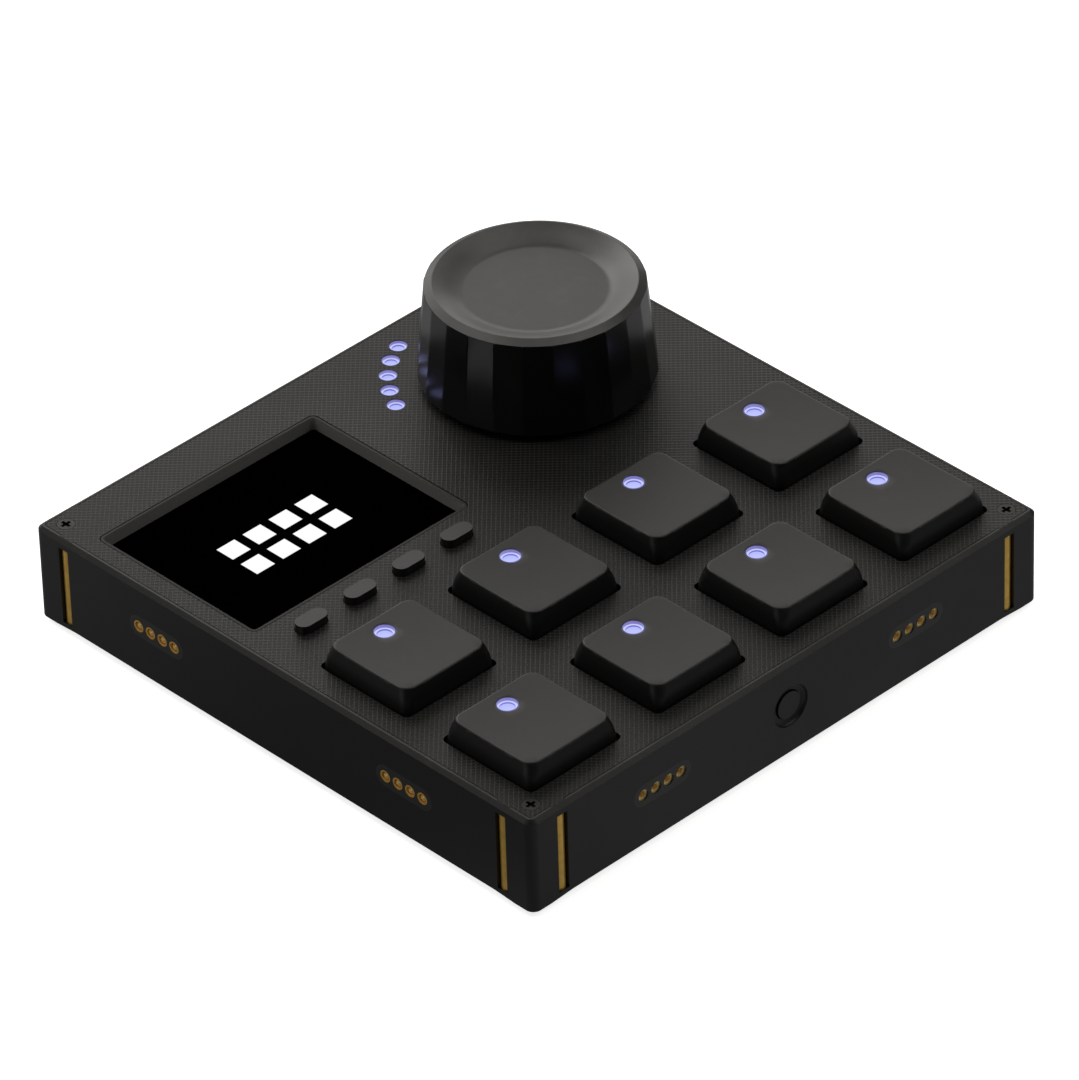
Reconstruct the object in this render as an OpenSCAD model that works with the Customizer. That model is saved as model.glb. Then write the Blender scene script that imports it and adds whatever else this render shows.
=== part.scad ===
// Macro keypad with eight keys, a small display, four menu buttons and one large dial.
// Millimetres, +Z up. The origin is on the desk, under the middle of the case.

/* [Case] */
// Width of the case, left to right
case_w = 100; // [100:1:110]
// Depth of the case, front to back
case_d = 100; // [100:1:110]
// Height of the case walls
case_h = 15.45; // [15.45:0.05:18]
// Thickness of the case walls
wall_t = 3.2; // [3.2:0.1:3.4]
// Radius of the upright corners
corner_r = 1.4; // [1.4:0.1:2.2]
// Chamfer round the top of the rim
rim_chamfer = 0.6; // [0.3:0.1:0.6]
// Width of the rim round the top plate
rim_w = 0.95; // [0.85:0.05:1.05]
// Chamfer under the middle of each side
sill_chamfer = 0.26; // [0.2:0.02:0.8]
// Length at each corner that has no sill chamfer
land_l = 3.5; // [2:0.5:8]
// Length over which the sill chamfer runs out
land_run = 4; // [1:0.5:6]
// Size of the upper corner posts, from the outside of the case
top_post = 4.6; // [4.4:0.1:4.7]
// Size of the lower corner posts, from the outside of the case
low_post = 7; // [6.8:0.1:7.4]

/* [Top plate] */
// Thickness of the top plate
plate_t = 1.5; // [1.2:0.1:1.6]
// Gap round the edge of the top plate
plate_gap = 0.1; // [0.05:0.05:0.15]
// Width of the tabs that close the magnet pockets
tab_w = 2.5; // [2:0.1:2.5]

/* [Bottom cover] */
// Thickness of the bottom cover
cover_t = 1.6; // [1.4:0.1:1.8]
// Distance from the side of the case to the edge of the cover
cover_inset = 2.7; // [2.6:0.05:2.75]
// Diameter of the rubber feet
foot_d = 9; // [6:0.5:10]
// Height of the rubber feet
foot_t = 1.45; // [1.2:0.05:1.6]
// Depth of the pockets that hold the feet
foot_pocket = 0.6; // [0.4:0.1:0.8]
// Distance from the side of the case to the middle of a foot
foot_inset = 12; // [12:0.5:16]

/* [Keys] */
// Distance from the sides of the case to the middle of the outer keys
key_side = 13.625; // [13.6:0.025:14.2]
// Distance from the front of the case to the middle of the front row
key_front = 13.625; // [13.6:0.025:14.2]
// Width of a keycap at its foot
cap_foot_w = 17.2; // [17:0.1:17.3]
// Width of a keycap at its top
cap_top_w = 15.4; // [15.2:0.1:16]
// Height of a keycap's corners above the top plate
cap_rise = 3.65; // [3.4:0.05:3.9]
// Depth of a keycap's foot below the top plate's surface
cap_drop = 0.4; // [0.3:0.05:0.5]
// Corner radius of a keycap at its foot
cap_foot_r = 1.5; // [1.2:0.1:2]
// Corner radius of a keycap at its top
cap_top_r = 1.9; // [1.5:0.1:2.2]
// Thickness of a keycap's roof at its corners
cap_roof = 1.5; // [1.4:0.05:1.6]
// Width of the hollow under a keycap
cap_hollow_w = 14.8; // [14.7:0.1:14.9]
// Radius of the dish in a keycap's top
dish_r = 220; // [160:10:300]
// Width of the openings for the keys
key_hole_w = 17.65; // [17.6:0.05:17.9]
// Travel of a key
key_travel = 3; // [2.6:0.1:3]
// Diameter of the light window in a keycap
window_d = 3.2; // [2.6:0.1:3.3]
// Distance from the middle of a keycap to its light window
window_y = 4.65; // [4.25:0.05:4.75]
// Depth of the lens below the top of its window
window_recess = 0.55; // [0.2:0.05:0.6]

/* [Key switches] */
// Height of a switch above the board
switch_h = 5; // [5:0.1:5.2]
// Width of a switch base
base_w = 14.6; // [14.2:0.1:14.9]
// Height of a switch base
base_h = 2.2; // [2:0.1:2.3]
// Width of a switch top
housing_w = 13.8; // [13.4:0.1:14]
// Width of a stem
stem_w = 8.6; // [8.2:0.1:8.8]
// Depth of a stem
stem_d = 4.4; // [4.1:0.1:4.4]
// Gap between a stem and its housing
stem_gap = 0.1; // [0.06:0.01:0.1]
// Outer diameter of a key spring
spring_d = 2.6; // [2.2:0.1:2.6]
// Diameter of the spring wire
spring_wire = 0.26; // [0.2:0.02:0.3]
// Turns of a key spring
spring_turns = 5; // [4:1:6]

/* [Display] */
// Distance from the display opening to the dial's axis
screen_right = 29.3; // [29.3:0.05:33]
// Distance from the left side of the case to the display opening
screen_left = 3.75; // [3.75:0.05:4.5]
// Distance from the back of the case to the display opening
screen_back = 8.9; // [8.7:0.05:9.2]
// Corner radius of the display opening
screen_r = 1.2; // [0.8:0.1:2]
// Depth of the glass below the top plate's surface
glass_drop = 2.1; // [1.9:0.05:2.3]
// Thickness of the glass
glass_t = 1.1; // [0.8:0.1:1.2]
// Thickness of the display panel
panel_t = 1.6; // [1.4:0.1:1.7]
// Thickness of the bezel's upright wall
bezel_wall = 0.4; // [0.35:0.05:0.6]
// Gap between the bezel and the top plate
bezel_gap = 0.15; // [0.1:0.05:0.2]

/* [Menu buttons] */
// Distance from the back row of keys to the menu row
menu_front = 16.455; // [16.2:0.005:17.5]
// Distance from the menu row to the display opening
menu_back = 4.22; // [4.2:0.02:4.5]
// Distance from the sides of the display opening to the middle of the outer menu buttons
menu_side = 6.95; // [6.5:0.05:8]
// Length of a menu button
pill_w = 5.3; // [4.8:0.1:5.6]
// Width of a menu button
pill_d = 2.64; // [2.4:0.04:2.8]
// Height of a menu button above the top plate
pill_rise = 1.28; // [1:0.02:1.5]
// Gap round a menu button
pill_gap = 0.1; // [0.08:0.01:0.15]
// Travel of a menu button
pill_travel = 0.4; // [0.3:0.05:0.4]

/* [Dial] */
// Distance from the right side of the case to the dial's axis
knob_right = 25; // [24.5:0.5:26]
// Distance from the back of the case to the dial's axis
knob_back = 25; // [24.5:0.5:26]
// Diameter of the dial at its widest
knob_d = 35.2; // [33:0.1:35.5]
// Diameter of the dial at the top of its facets
knob_top_d = 32.4; // [32:0.1:32.4]
// Height of the dial's rim above the top plate
knob_h = 16.3; // [15:0.1:18]
// Height of the facets' top edge below the rim
knob_shoulder = 0.7; // [0.5:0.1:0.9]
// Gap under the dial
knob_gap = 0.8; // [0.7:0.05:1]
// Radius of the dial's rounded foot
knob_foot_r = 0.65; // [0.4:0.05:0.8]
// Number of facets
facets = 24; // [18:1:30]
// Turn of the first facet
facet_turn = 1.6; // [0:0.1:15]
// Diameter of the rim of the dish
knob_dish_d = 29.7; // [28:0.1:30]
// Diameter of the dish's flat floor
knob_floor_d = 21.4; // [18:0.1:23]
// Depth of the dish
knob_dish = 1.64; // [1:0.02:2]
// Wall thickness of the dial at its top
knob_wall = 1.9; // [1.5:0.1:2.4]
// Push travel of the dial
knob_travel = 0.5; // [0.3:0.05:0.5]

/* [Encoder] */
// Width of the encoder body
encoder_w = 12.4; // [11.5:0.1:13]
// Diameter of the threaded bush
bush_d = 7; // [6.8:0.1:7.4]
// Height of the bush above the top plate
bush_rise = 2.6; // [2.2:0.1:2.8]
// Width of the nut across its corners
nut_d = 10.4; // [9.6:0.1:11]
// Thickness of the nut
nut_t = 1.8; // [1.4:0.1:2]
// Diameter of the sleeve that turns in the bush
sleeve_d = 6; // [5.6:0.1:6]
// Radial running clearance of the sleeve
sleeve_gap = 0.05; // [0.03:0.01:0.08]
// Width of the square drive in the sleeve
drive_w = 3; // [2.6:0.1:3.2]
// Gap round the square drive
drive_gap = 0.05; // [0.03:0.01:0.08]
// Diameter of the rotor inside the encoder
rotor_d = 9.4; // [8.6:0.1:9.6]
// Diameter of the shaft that carries the dial
shaft_d = 6; // [5.6:0.1:6]
// Distance from the shaft's axis to its flat
shaft_flat = 1.5; // [1.2:0.1:1.8]

/* [Status lights] */
// Number of status lights
light_count = 5; // [3:1:7]
// Distance from the dial's axis to the lights
light_orbit = 21.6; // [21:0.1:21.8]
// Angle of the middle light
light_angle = 135; // [130:1:140]
// Angle between neighbouring lights
light_step_angle = 10; // [9:0.5:11]
// Diameter of a status light
light_d = 2.8; // [2:0.1:3]
// Depth of a light's lens below the top plate's surface
light_recess = 0.5; // [0.2:0.05:0.7]

/* [Side button] */
// Diameter of the button's face
side_face_d = 4.3; // [4:0.1:4.3]
// Gap round the button
side_gap = 0.15; // [0.1:0.01:0.2]
// Outer diameter of the dished entry
side_entry_d = 6.7; // [6:0.1:7.4]
// Depth of the dished entry
side_entry_t = 0.6; // [0.4:0.05:0.8]
// Height of the button's face above the floor of the entry
side_proud = 0.3; // [0:0.05:0.4]
// Travel of the button
side_travel = 0.5; // [0.3:0.05:0.5]
// Distance of the button's axis below the middle of the board
side_low = 0.4; // [0.2:0.1:0.6]

/* [Side contacts] */
// Distance from the end of a side to the middle of a contact set
contact_inset = 25; // [25:0.5:26]
// Contacts in a set
contact_count = 4; // [3:1:4]
// Distance between neighbouring contacts
contact_pitch = 2.43; // [2.3:0.01:2.54]
// Width of a connector's face
connector_w = 10.9; // [10.6:0.1:11.2]
// Height of a connector's face
connector_h = 3.6; // [3:0.1:3.8]
// Diameter of a contact's gold sleeve
contact_d = 1.9; // [1.7:0.05:1.95]
// Diameter of a sprung pin
pin_d = 1.3; // [1.2:0.02:1.34]
// Radial gap round a sprung pin
pin_gap = 0.05; // [0.03:0.01:0.07]
// Travel of a sprung pin
pin_travel = 0.8; // [0.5:0.05:0.8]
// Depth of a socket contact below the side
cup_recess = 0.3; // [0.1:0.05:0.5]

/* [Magnets] */
// Distance from a corner of the case to the middle of a magnet
magnet_inset = 5.95; // [5.9:0.05:6.5]
// Width of the windows in front of the magnets
slot_w = 1.9; // [1.6:0.05:1.9]
// Height of the windows
slot_h = 13; // [10:0.5:13]
// Height of the windows' lower end above the case's underside
slot_z = 0.95; // [0.95:0.05:1.2]
// Thickness of the case in front of the magnets
skin_t = 0.65; // [0.62:0.01:0.68]
// Depth of the magnets' faces below the side
magnet_recess = 0.25; // [0.22:0.01:0.3]
// Width of a magnet
magnet_w = 2.5; // [2.3:0.1:2.5]
// Thickness of a magnet
magnet_t = 1.95; // [1.7:0.05:1.95]

/* [Fasteners] */
// Distance from the side of the case to a top screw
top_screw_inset = 3.2; // [3.2:0.05:3.3]
// Diameter of a top screw's head
top_head_d = 2.6; // [2.4:0.05:2.8]
// Length of a top screw under its head
top_screw_l = 4; // [3:0.5:4.5]
// Diameter of a top screw's thread
top_thread_d = 1.4; // [1.2:0.1:1.4]
// Distance from the side of the case to a bottom screw
low_screw_inset = 5.1; // [5:0.1:5.2]
// Diameter of a bottom screw's head
low_head_d = 3.5; // [3:0.1:3.6]
// Length of a bottom screw under its head
low_screw_l = 5; // [4:0.5:6]
// Diameter of the bottom and board screws' threads
m2_thread_d = 2; // [1.8:0.1:2]

/* [Board] */
// Thickness of the board
board_t = 1.6; // [1.2:0.1:1.6]
// Gap between the board and the walls
board_gap = 0.3; // [0.2:0.05:0.4]

/* [Hidden] */
KEY_NODES = [for (kind = ["keycap", "key_lens", "key_stem"], i = [1:8]) str(kind, "_", i)];
MENU_NODES = [for (i = [1:4]) str("menu_button_", i)];
$fn = 64;

// Heights, from the desk up
base_z = foot_t - foot_pocket;
top_z = base_z + case_h;
plate_z = top_z - plate_t;
cover_z = base_z + cover_t;
press_gap = 0.3;
roof_z = top_z + cap_rise - cap_roof;
housing_z = roof_z - key_travel - press_gap;
board_z = housing_z - switch_h;
board_low_z = board_z - board_t;
board_mid_z = (board_z + board_low_z) / 2;

// Places in plan
key_cols = 4;
key_rows = 2;
menu_count = 4;
key_pitch = (case_w - 2 * key_side) / (key_cols - 1);
function key_x(i) = ((i - 1) % key_cols - (key_cols - 1) / 2) * key_pitch;
function key_y(i) = -case_d / 2 + key_front + (i > key_cols ? 0 : key_pitch);
menu_row_y = key_y(1) + menu_front;
screen_w = case_w - screen_left - screen_right - knob_right;
screen_d = case_d / 2 - screen_back - menu_row_y - menu_back;
screen_x = -case_w / 2 + screen_left + screen_w / 2;
screen_y = case_d / 2 - screen_back - screen_d / 2;
menu_pitch = (screen_w - 2 * menu_side) / (menu_count - 1);
function menu_x(i) = screen_x + (i - (menu_count + 1) / 2) * menu_pitch;
knob_x = case_w / 2 - knob_right;
knob_y = case_d / 2 - knob_back;
light_angles = [for (i = [0:light_count - 1])
    light_angle + (i - (light_count - 1) / 2) * light_step_angle];
inner_w = case_w - 2 * wall_t;
inner_d = case_d - 2 * wall_t;
plate_w = case_w - 2 * (rim_w + plate_gap);
plate_d = case_d - 2 * (rim_w + plate_gap);
plate_r = corner_r - rim_w;

// Small clearances: faces that stop a moving piece, seats of fixed pieces
stop_gap = 0.05;
seat_gap = 0.05;

module rounded_square(w, d, r) {
    square([w - 2 * r, d], center = true);
    square([w, d - 2 * r], center = true);
    for (sx = [-1, 1], sy = [-1, 1])
        translate([sx * (w / 2 - r), sy * (d / 2 - r)])
            circle(r);
}

module rounded_box(w, d, h, r) {
    linear_extrude(h)
        rounded_square(w, d, r);
}

module stadium(w, d) {
    square([w - d, d], center = true);
    for (side = [-1, 1])
        translate([side * (w - d) / 2, 0])
            circle(d = d);
}

// A plain block that stands on z = 0
module block(w, d, h) {
    translate([-w / 2, -d / 2, 0])
        cube([w, d, h]);
}

// Places its children in all four corners, given their distance from the sides of the case
module at_corners(inset) {
    for (sx = [-1, 1], sy = [-1, 1])
        translate([sx * (case_w / 2 - inset), sy * (case_d / 2 - inset), 0])
            children();
}

// Places its children on one side of the case: 0 front, 1 right, 2 back, 3 left.
// There x runs along the side, and y runs into the case from the side's face.
module on_side(side) {
    rotate([0, 0, 90 * side])
        translate([0, -(side % 2 == 0 ? case_d : case_w) / 2, 0])
            children();
}

function side_l(side) = side % 2 == 0 ? case_w : case_d;

// Turns an extrusion so that it runs into the case from its side
module inward() {
    rotate([-90, 0, 0])
        children();
}

module at_keys() {
    for (i = [1:key_cols * key_rows])
        translate([key_x(i), key_y(i), 0])
            children();
}

module at_lights() {
    for (a = light_angles)
        translate([knob_x + light_orbit * cos(a), knob_y + light_orbit * sin(a), 0])
            children();
}

// Keycaps

skirt_z = top_z - cap_drop;
dish_z = top_z + cap_rise + dish_r - pow(cap_top_w / sqrt(2), 2) / (2 * dish_r);
flare = 2.2;
cap_hollow_r = 0.8;
cap_steps = 6;
cap_edge = 0.22;
leg_w = 1.2;
leg_d = 3;
leg_l = 2.5;
leg_x = 2.85;
leg_gap = 0.02;
leg_root = 0.2;
leg_end_gap = 0.1;
level_t = 0.01;

// One level of a keycap: share 0 is its foot and 1 its top
module cap_level(share, inset = 0) {
    w = cap_foot_w - (cap_foot_w - cap_top_w) * pow(share, flare) - 2 * inset;
    r = cap_foot_r + (cap_top_r - cap_foot_r) * share;
    for (sx = [-1, 1], sy = [-1, 1])
        translate([sx * (w / 2 - r), sy * (w / 2 - r), skirt_z + share * (cap_rise + cap_drop)])
            cylinder(r = r, h = level_t, $fn = 32);
}

// The shallow bowl that is cut out of a keycap's top
module dish_cut() {
    rotate_extrude($fn = 96)
        intersection() {
            translate([0, dish_z])
                circle(dish_r, $fn = 1440);
            translate([0, top_z])
                square([cap_top_w, 2 * cap_rise]);
        }
}

module keycap() {
    color("#4b4a48") {
        difference() {
            hull() {
                for (i = [0:cap_steps - 1])
                    cap_level(i / cap_steps);
                cap_level(1 - cap_edge / (cap_rise + cap_drop));
                cap_level(1, cap_edge);
            }
            dish_cut();
            translate([0, 0, skirt_z - 1])
                rounded_box(cap_hollow_w, cap_hollow_w, roof_z - skirt_z + 1, cap_hollow_r);
            translate([0, window_y, roof_z - 1])
                cylinder(d = window_d, h = cap_roof + 2);
        }
        for (side = [-1, 1])
            translate([side * leg_x, 0, roof_z - leg_l])
                block(leg_w, leg_d, leg_l + leg_root);
    }
}

lens_rim_t = 0.12;
lens_rim_gap = 0.06;
lens_ledge = 0.45;
lens_step = 0.25;

// The stepped hollow in the top of a lens, which leaves a thin rim round it
module lens_steps(d, z) {
    translate([0, 0, z])
        cylinder(d = d - 2 * lens_rim_t, h = 2);
    translate([0, 0, z - lens_step])
        cylinder(d = d - 2 * lens_ledge, h = 1);
}

module key_lens() {
    rim_z = dish_z - sqrt(pow(dish_r, 2) - pow(window_y - window_d / 2, 2)) - lens_rim_gap;
    lens_z = rim_z + lens_rim_gap - window_recess;
    color("#b4b4ff")
        translate([0, window_y, 0])
            difference() {
                translate([0, 0, roof_z])
                    cylinder(d = window_d, h = rim_z - roof_z);
                lens_steps(window_d, lens_z);
            }
}

// Key switches

switch_floor = 0.6;
switch_roof = 0.8;
base_r = 0.6;
housing_r = 0.8;
flange_side = 0.5;
flange_gap = 0.2;
cavity_w = stem_w + 2 * (flange_side + flange_gap + stem_gap);
cavity_d = stem_d + 2 * stem_gap;
flange_z = board_z + switch_floor + key_travel + stop_gap;
flange_t = switch_h - switch_floor - switch_roof - key_travel - 2 * stop_gap;
leg_slot_z = roof_z - leg_l - leg_end_gap;
well_up = 0.85;
well_z = leg_slot_z + well_up;
well_d = 3;
shine_d = 3.3;

module key_stem() {
    color("#e8e4da")
        difference() {
            union() {
                translate([0, 0, flange_z])
                    block(stem_w, stem_d, roof_z - flange_z);
                translate([0, 0, flange_z])
                    block(cavity_w - 2 * flange_gap, stem_d, flange_t);
            }
            for (side = [-1, 1])
                translate([side * leg_x, 0, leg_slot_z])
                    block(leg_w + 2 * leg_gap, leg_d + 2 * leg_gap, leg_l + 1);
            translate([0, 0, flange_z - 1])
                cylinder(d = well_d, h = well_z - flange_z + 1);
        }
}

module switch_bases() {
    color("#2a2a2c")
        at_keys()
            difference() {
                translate([0, 0, board_z])
                    rounded_box(base_w, base_w, base_h, base_r);
                translate([0, 0, board_z + switch_floor])
                    block(cavity_w, cavity_d, base_h);
                translate([0, window_y, board_z - 1])
                    cylinder(d = shine_d, h = base_h + 2);
            }
}

module switch_tops() {
    color("#3a3a3e")
        at_keys()
            difference() {
                translate([0, 0, board_z + base_h])
                    rounded_box(housing_w, housing_w, switch_h - base_h, housing_r);
                translate([0, 0, board_z + base_h - 1])
                    block(cavity_w, cavity_d, switch_h - base_h - switch_roof + 1);
                translate([0, 0, board_z])
                    block(stem_w + 2 * stem_gap, cavity_d, switch_h + 1);
                translate([0, window_y, board_z])
                    cylinder(d = shine_d, h = switch_h + 1);
            }
}

coil_sides = 5;
coil_steps = 10;

// A coil spring that stands on z = 0, swept ring by ring along its helix
module coil(d, wire, l, turns) {
    rings = turns * coil_steps;
    mean_r = (d - wire) / 2;
    function ring(i) = let (a = 360 * i / coil_steps, z = wire / 2 + (l - wire) * i / rings)
        [for (j = [0:coil_sides - 1])
            let (b = 360 * j / coil_sides, r = mean_r + wire / 2 * cos(b))
            [r * cos(a), r * sin(a), z + wire / 2 * sin(b)]];
    function at(i, j) = i * coil_sides + j % coil_sides;
    points = [for (i = [0:rings], p = ring(i)) p];
    walls = [for (i = [0:rings - 1], j = [0:coil_sides - 1])
        each [[at(i, j), at(i, j + 1), at(i + 1, j + 1)], [at(i, j), at(i + 1, j + 1), at(i + 1, j)]]];
    first = [for (j = [coil_sides - 1:-1:0]) j];
    last = [for (j = [0:coil_sides - 1]) rings * coil_sides + j];
    polyhedron(points, concat(walls, [first, last]));
}

module key_springs() {
    spring_z = board_z + switch_floor;
    color("silver")
        at_keys()
            translate([0, 0, spring_z])
                coil(spring_d, spring_wire, well_z - spring_z, spring_turns);
}

// Case

// A block with rounded corners and a chamfer round its top
module chamfered_block(w, d, h, r, c) {
    module profile(half) {
        polygon([[-half, 0], [half, 0], [half, h - c], [half - c, h], [c - half, h], [-half, h - c]]);
    }
    translate([0, d / 2 - r, 0])
        rotate([90, 0, 0])
            linear_extrude(d - 2 * r)
                profile(w / 2);
    rotate([0, 0, 90])
        translate([0, w / 2 - r, 0])
            rotate([90, 0, 0])
                linear_extrude(w - 2 * r)
                    profile(d / 2);
    for (sx = [-1, 1], sy = [-1, 1])
        translate([sx * (w / 2 - r), sy * (d / 2 - r), 0]) {
            cylinder(r = r, h = h - c);
            translate([0, 0, h - c])
                cylinder(r1 = r, r2 = r - c, h = c);
        }
}

pocket_w = tab_w + 2 * seat_gap;
pocket_t = magnet_recess + magnet_t + 2 * seat_gap - skin_t;
pocket_z = base_z + slot_z;

// The pocket of one magnet, open at the top, with the window in front of it
module magnet_pocket() {
    translate([-pocket_w / 2, skin_t, pocket_z])
        cube([pocket_w, pocket_t, case_h]);
    translate([-slot_w / 2, -1, base_z + slot_z])
        cube([slot_w, skin_t + 1 + pocket_t / 2, slot_h]);
}

module at_magnets(side) {
    for (end = [-1, 1])
        on_side(side)
            translate([end * (side_l(side) / 2 - magnet_inset), 0, 0])
                children();
}

module at_contacts(side) {
    for (end = [-1, 1])
        on_side(side)
            translate([end * (side_l(side) / 2 - contact_inset), 0, board_mid_z])
                children();
}

button_z = board_mid_z - side_low;
port_w = 8.94;
port_h = 3.26;
port_wall = 0.3;
port_l = 7.3;
port_recess = 0.3;
post_bite = 0.5;
screw_tip_gap = 0.5;

// A corner post, given its size from the outside of the case
module corner_posts(size, z, h) {
    at_corners((size + wall_t - post_bite) / 2)
        translate([0, 0, z])
            block(size - wall_t + post_bite, size - wall_t + post_bite, h);
}

module case_walls() {
    difference() {
        translate([0, 0, base_z])
            chamfered_block(case_w, case_d, case_h, corner_r, rim_chamfer);
        translate([0, 0, base_z - 1])
            block(inner_w, inner_d, case_h + 2);
    }
    corner_posts(low_post, cover_z, board_low_z - cover_z);
    corner_posts(top_post, cover_z, plate_z - cover_z);
}

// The entry, bore and flange room of the side button
module button_bore() {
    translate([0, 0, button_z])
        inward() {
            rotate_extrude() {
                translate([0, -1])
                    square([side_entry_d / 2, 1]);
                square([side_entry_d / 2 - side_entry_t, side_entry_t]);
                intersection() {
                    translate([side_entry_d / 2 - side_entry_t, 0])
                        circle(side_entry_t);
                    square(side_entry_d);
                }
            }
            translate([0, 0, -1])
                cylinder(d = side_face_d + 2 * side_gap, h = wall_t + 2);
        }
}

module case_frame() {
    color("#2c2c2a")
        difference() {
            case_walls();
            translate([0, 0, plate_z])
                rounded_box(plate_w + 2 * plate_gap, plate_d + 2 * plate_gap, plate_t + 1,
                            plate_r + plate_gap);
            translate([0, 0, base_z - 1])
                rounded_box(cover_w + 2 * cover_gap, cover_d + 2 * cover_gap, cover_t + 1, cover_r);
            for (side = [0:3]) {
                on_side(side)
                    sill_cut(side_l(side) / 2 - land_l);
                at_magnets(side)
                    magnet_pocket();
                at_contacts(side)
                    inward()
                        translate([0, 0, -1])
                            linear_extrude(wall_t + 2)
                                stadium(connector_w, connector_h);
            }
            on_side(0)
                button_bore();
            on_side(2)
                translate([0, 0, board_mid_z])
                    inward()
                        translate([0, 0, -1])
                            linear_extrude(wall_t + 2)
                                stadium(port_w + 2 * seat_gap, port_h + 2 * seat_gap);
            at_corners(top_screw_inset)
                translate([0, 0, plate_z - top_screw_l])
                    cylinder(d = top_thread_d, h = top_screw_l + 1);
            at_corners(low_screw_inset)
                translate([0, 0, base_z])
                    cylinder(d = m2_thread_d, h = low_head_t + low_screw_l + screw_tip_gap);
        }
}

// The chamfer under one side, which runs out towards the corners
module sill_cut(reach) {
    cut_t = 2;
    deep = sill_chamfer / sqrt(2);
    translate([0, 0, base_z])
        rotate([45, 0, 0])
            linear_extrude(cut_t, center = true)
                polygon([[-reach, -cut_t], [-reach, 0], [land_run - reach, deep],
                         [reach - land_run, deep], [reach, 0], [reach, -cut_t]]);
}

top_head_t = 0.8;
top_head_gap = 0.06;
key_hole_r = 1;

module top_plate() {
    color("#3a3a38")
        difference() {
            union() {
                translate([0, 0, plate_z])
                    rounded_box(plate_w, plate_d, plate_t, plate_r);
                for (side = [0:3])
                    at_magnets(side)
                        translate([-tab_w / 2, skin_t + seat_gap, plate_z])
                            cube([tab_w, 2 * rim_w, plate_t]);
            }
            at_keys()
                translate([0, 0, plate_z - 1])
                    rounded_box(key_hole_w, key_hole_w, plate_t + 2, key_hole_r);
            translate([screen_x, screen_y, plate_z - 1])
                rounded_box(screen_w, screen_d, plate_t + 2, screen_r);
            for (i = [1:menu_count])
                translate([menu_x(i), menu_row_y, plate_z - 1])
                    linear_extrude(plate_t + 2)
                        stadium(pill_w + 2 * pill_gap, pill_d + 2 * pill_gap);
            at_lights()
                translate([0, 0, plate_z - 1])
                    cylinder(d = light_d, h = plate_t + 2);
            translate([knob_x, knob_y, plate_z - 1])
                cylinder(d = bush_d + 2 * seat_gap, h = plate_t + 2);
            at_corners(top_screw_inset) {
                translate([0, 0, plate_z - 1])
                    cylinder(d = top_thread_d + 2 * seat_gap, h = plate_t + 2);
                translate([0, 0, top_z - top_head_t])
                    cylinder(d = top_head_d + 2 * top_head_gap, h = 2);
            }
        }
}

cross_w = 1.6;
cross_t = 0.5;
cross_deep = 0.6;

// A crosshead screw that points down, with its head's top at z = 0
module screw(head_d, head_t, thread_d, l) {
    difference() {
        translate([0, 0, -head_t])
            cylinder(d = head_d, h = head_t);
        for (turn = [0, 90])
            rotate([0, 0, turn])
                translate([0, 0, -cross_deep])
                    block(head_d * cross_w / top_head_d, cross_t, 1);
    }
    translate([0, 0, -head_t - l])
        cylinder(d = thread_d, h = l);
}

module top_screws() {
    color("#4a4a48")
        at_corners(top_screw_inset)
            translate([0, 0, top_z])
                screw(top_head_d, top_head_t, top_thread_d, top_screw_l);
}

// Bottom cover

cover_w = case_w - 2 * cover_inset;
cover_d = case_d - 2 * cover_inset;
cover_r = 1.2;
cover_gap = 0.1;
low_head_t = 1;
low_head_gap = 0.2;
boss_d = 5;
board_screw_l = 4;
board_head_d = 3.4;
board_head_t = 1.2;
boss_gap = 0.4;
between_rows = key_y(1) - key_pitch / 2;
mid_boss_right = 8;
mid_boss_back = 3;
mid_boss_x = screen_x + screen_w / 2 + mid_boss_right;
mid_boss_y = menu_row_y + mid_boss_back;
right_boss_inset = 8.2;
right_boss_back = 11.2;

module at_board_screws() {
    for (x = [-key_pitch, key_pitch])
        translate([x, between_rows, 0])
            children();
    translate([-case_w / 2 + low_post + boss_gap + boss_d / 2,
               case_d / 2 - wall_t - boss_gap - boss_d / 2, 0])
        children();
    translate([case_w / 2 - right_boss_inset, case_d / 2 - right_boss_back, 0])
        children();
    translate([mid_boss_x, mid_boss_y, 0])
        children();
}

module bottom_cover() {
    color("#262626")
        difference() {
            union() {
                translate([0, 0, base_z])
                    rounded_box(cover_w, cover_d, cover_t, cover_r - cover_gap);
                at_board_screws()
                    translate([0, 0, base_z])
                        cylinder(d = boss_d, h = board_low_z - base_z);
            }
            at_corners(low_screw_inset) {
                translate([0, 0, base_z - 1])
                    cylinder(d = low_head_d + 2 * low_head_gap, h = low_head_t + 1);
                translate([0, 0, base_z])
                    cylinder(d = m2_thread_d + 2 * seat_gap, h = cover_t + 1);
            }
            at_corners(foot_inset)
                translate([0, 0, base_z - 1])
                    cylinder(d = foot_d + 2 * seat_gap, h = foot_pocket + 1);
            at_board_screws()
                translate([0, 0, board_low_z - board_screw_l])
                    cylinder(d = m2_thread_d, h = board_screw_l + 1);
        }
}

module bottom_screws() {
    color("#3c3c3a")
        at_corners(low_screw_inset)
            translate([0, 0, base_z])
                rotate([180, 0, 0])
                    screw(low_head_d, low_head_t, m2_thread_d, low_screw_l);
}

module rubber_feet() {
    foot_edge = 0.3;
    color("#1c1c1c")
        at_corners(foot_inset) {
            cylinder(d1 = foot_d - 2 * foot_edge, d2 = foot_d, h = foot_edge);
            translate([0, 0, foot_edge])
                cylinder(d = foot_d, h = foot_t - foot_edge);
        }
}

// Board

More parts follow.
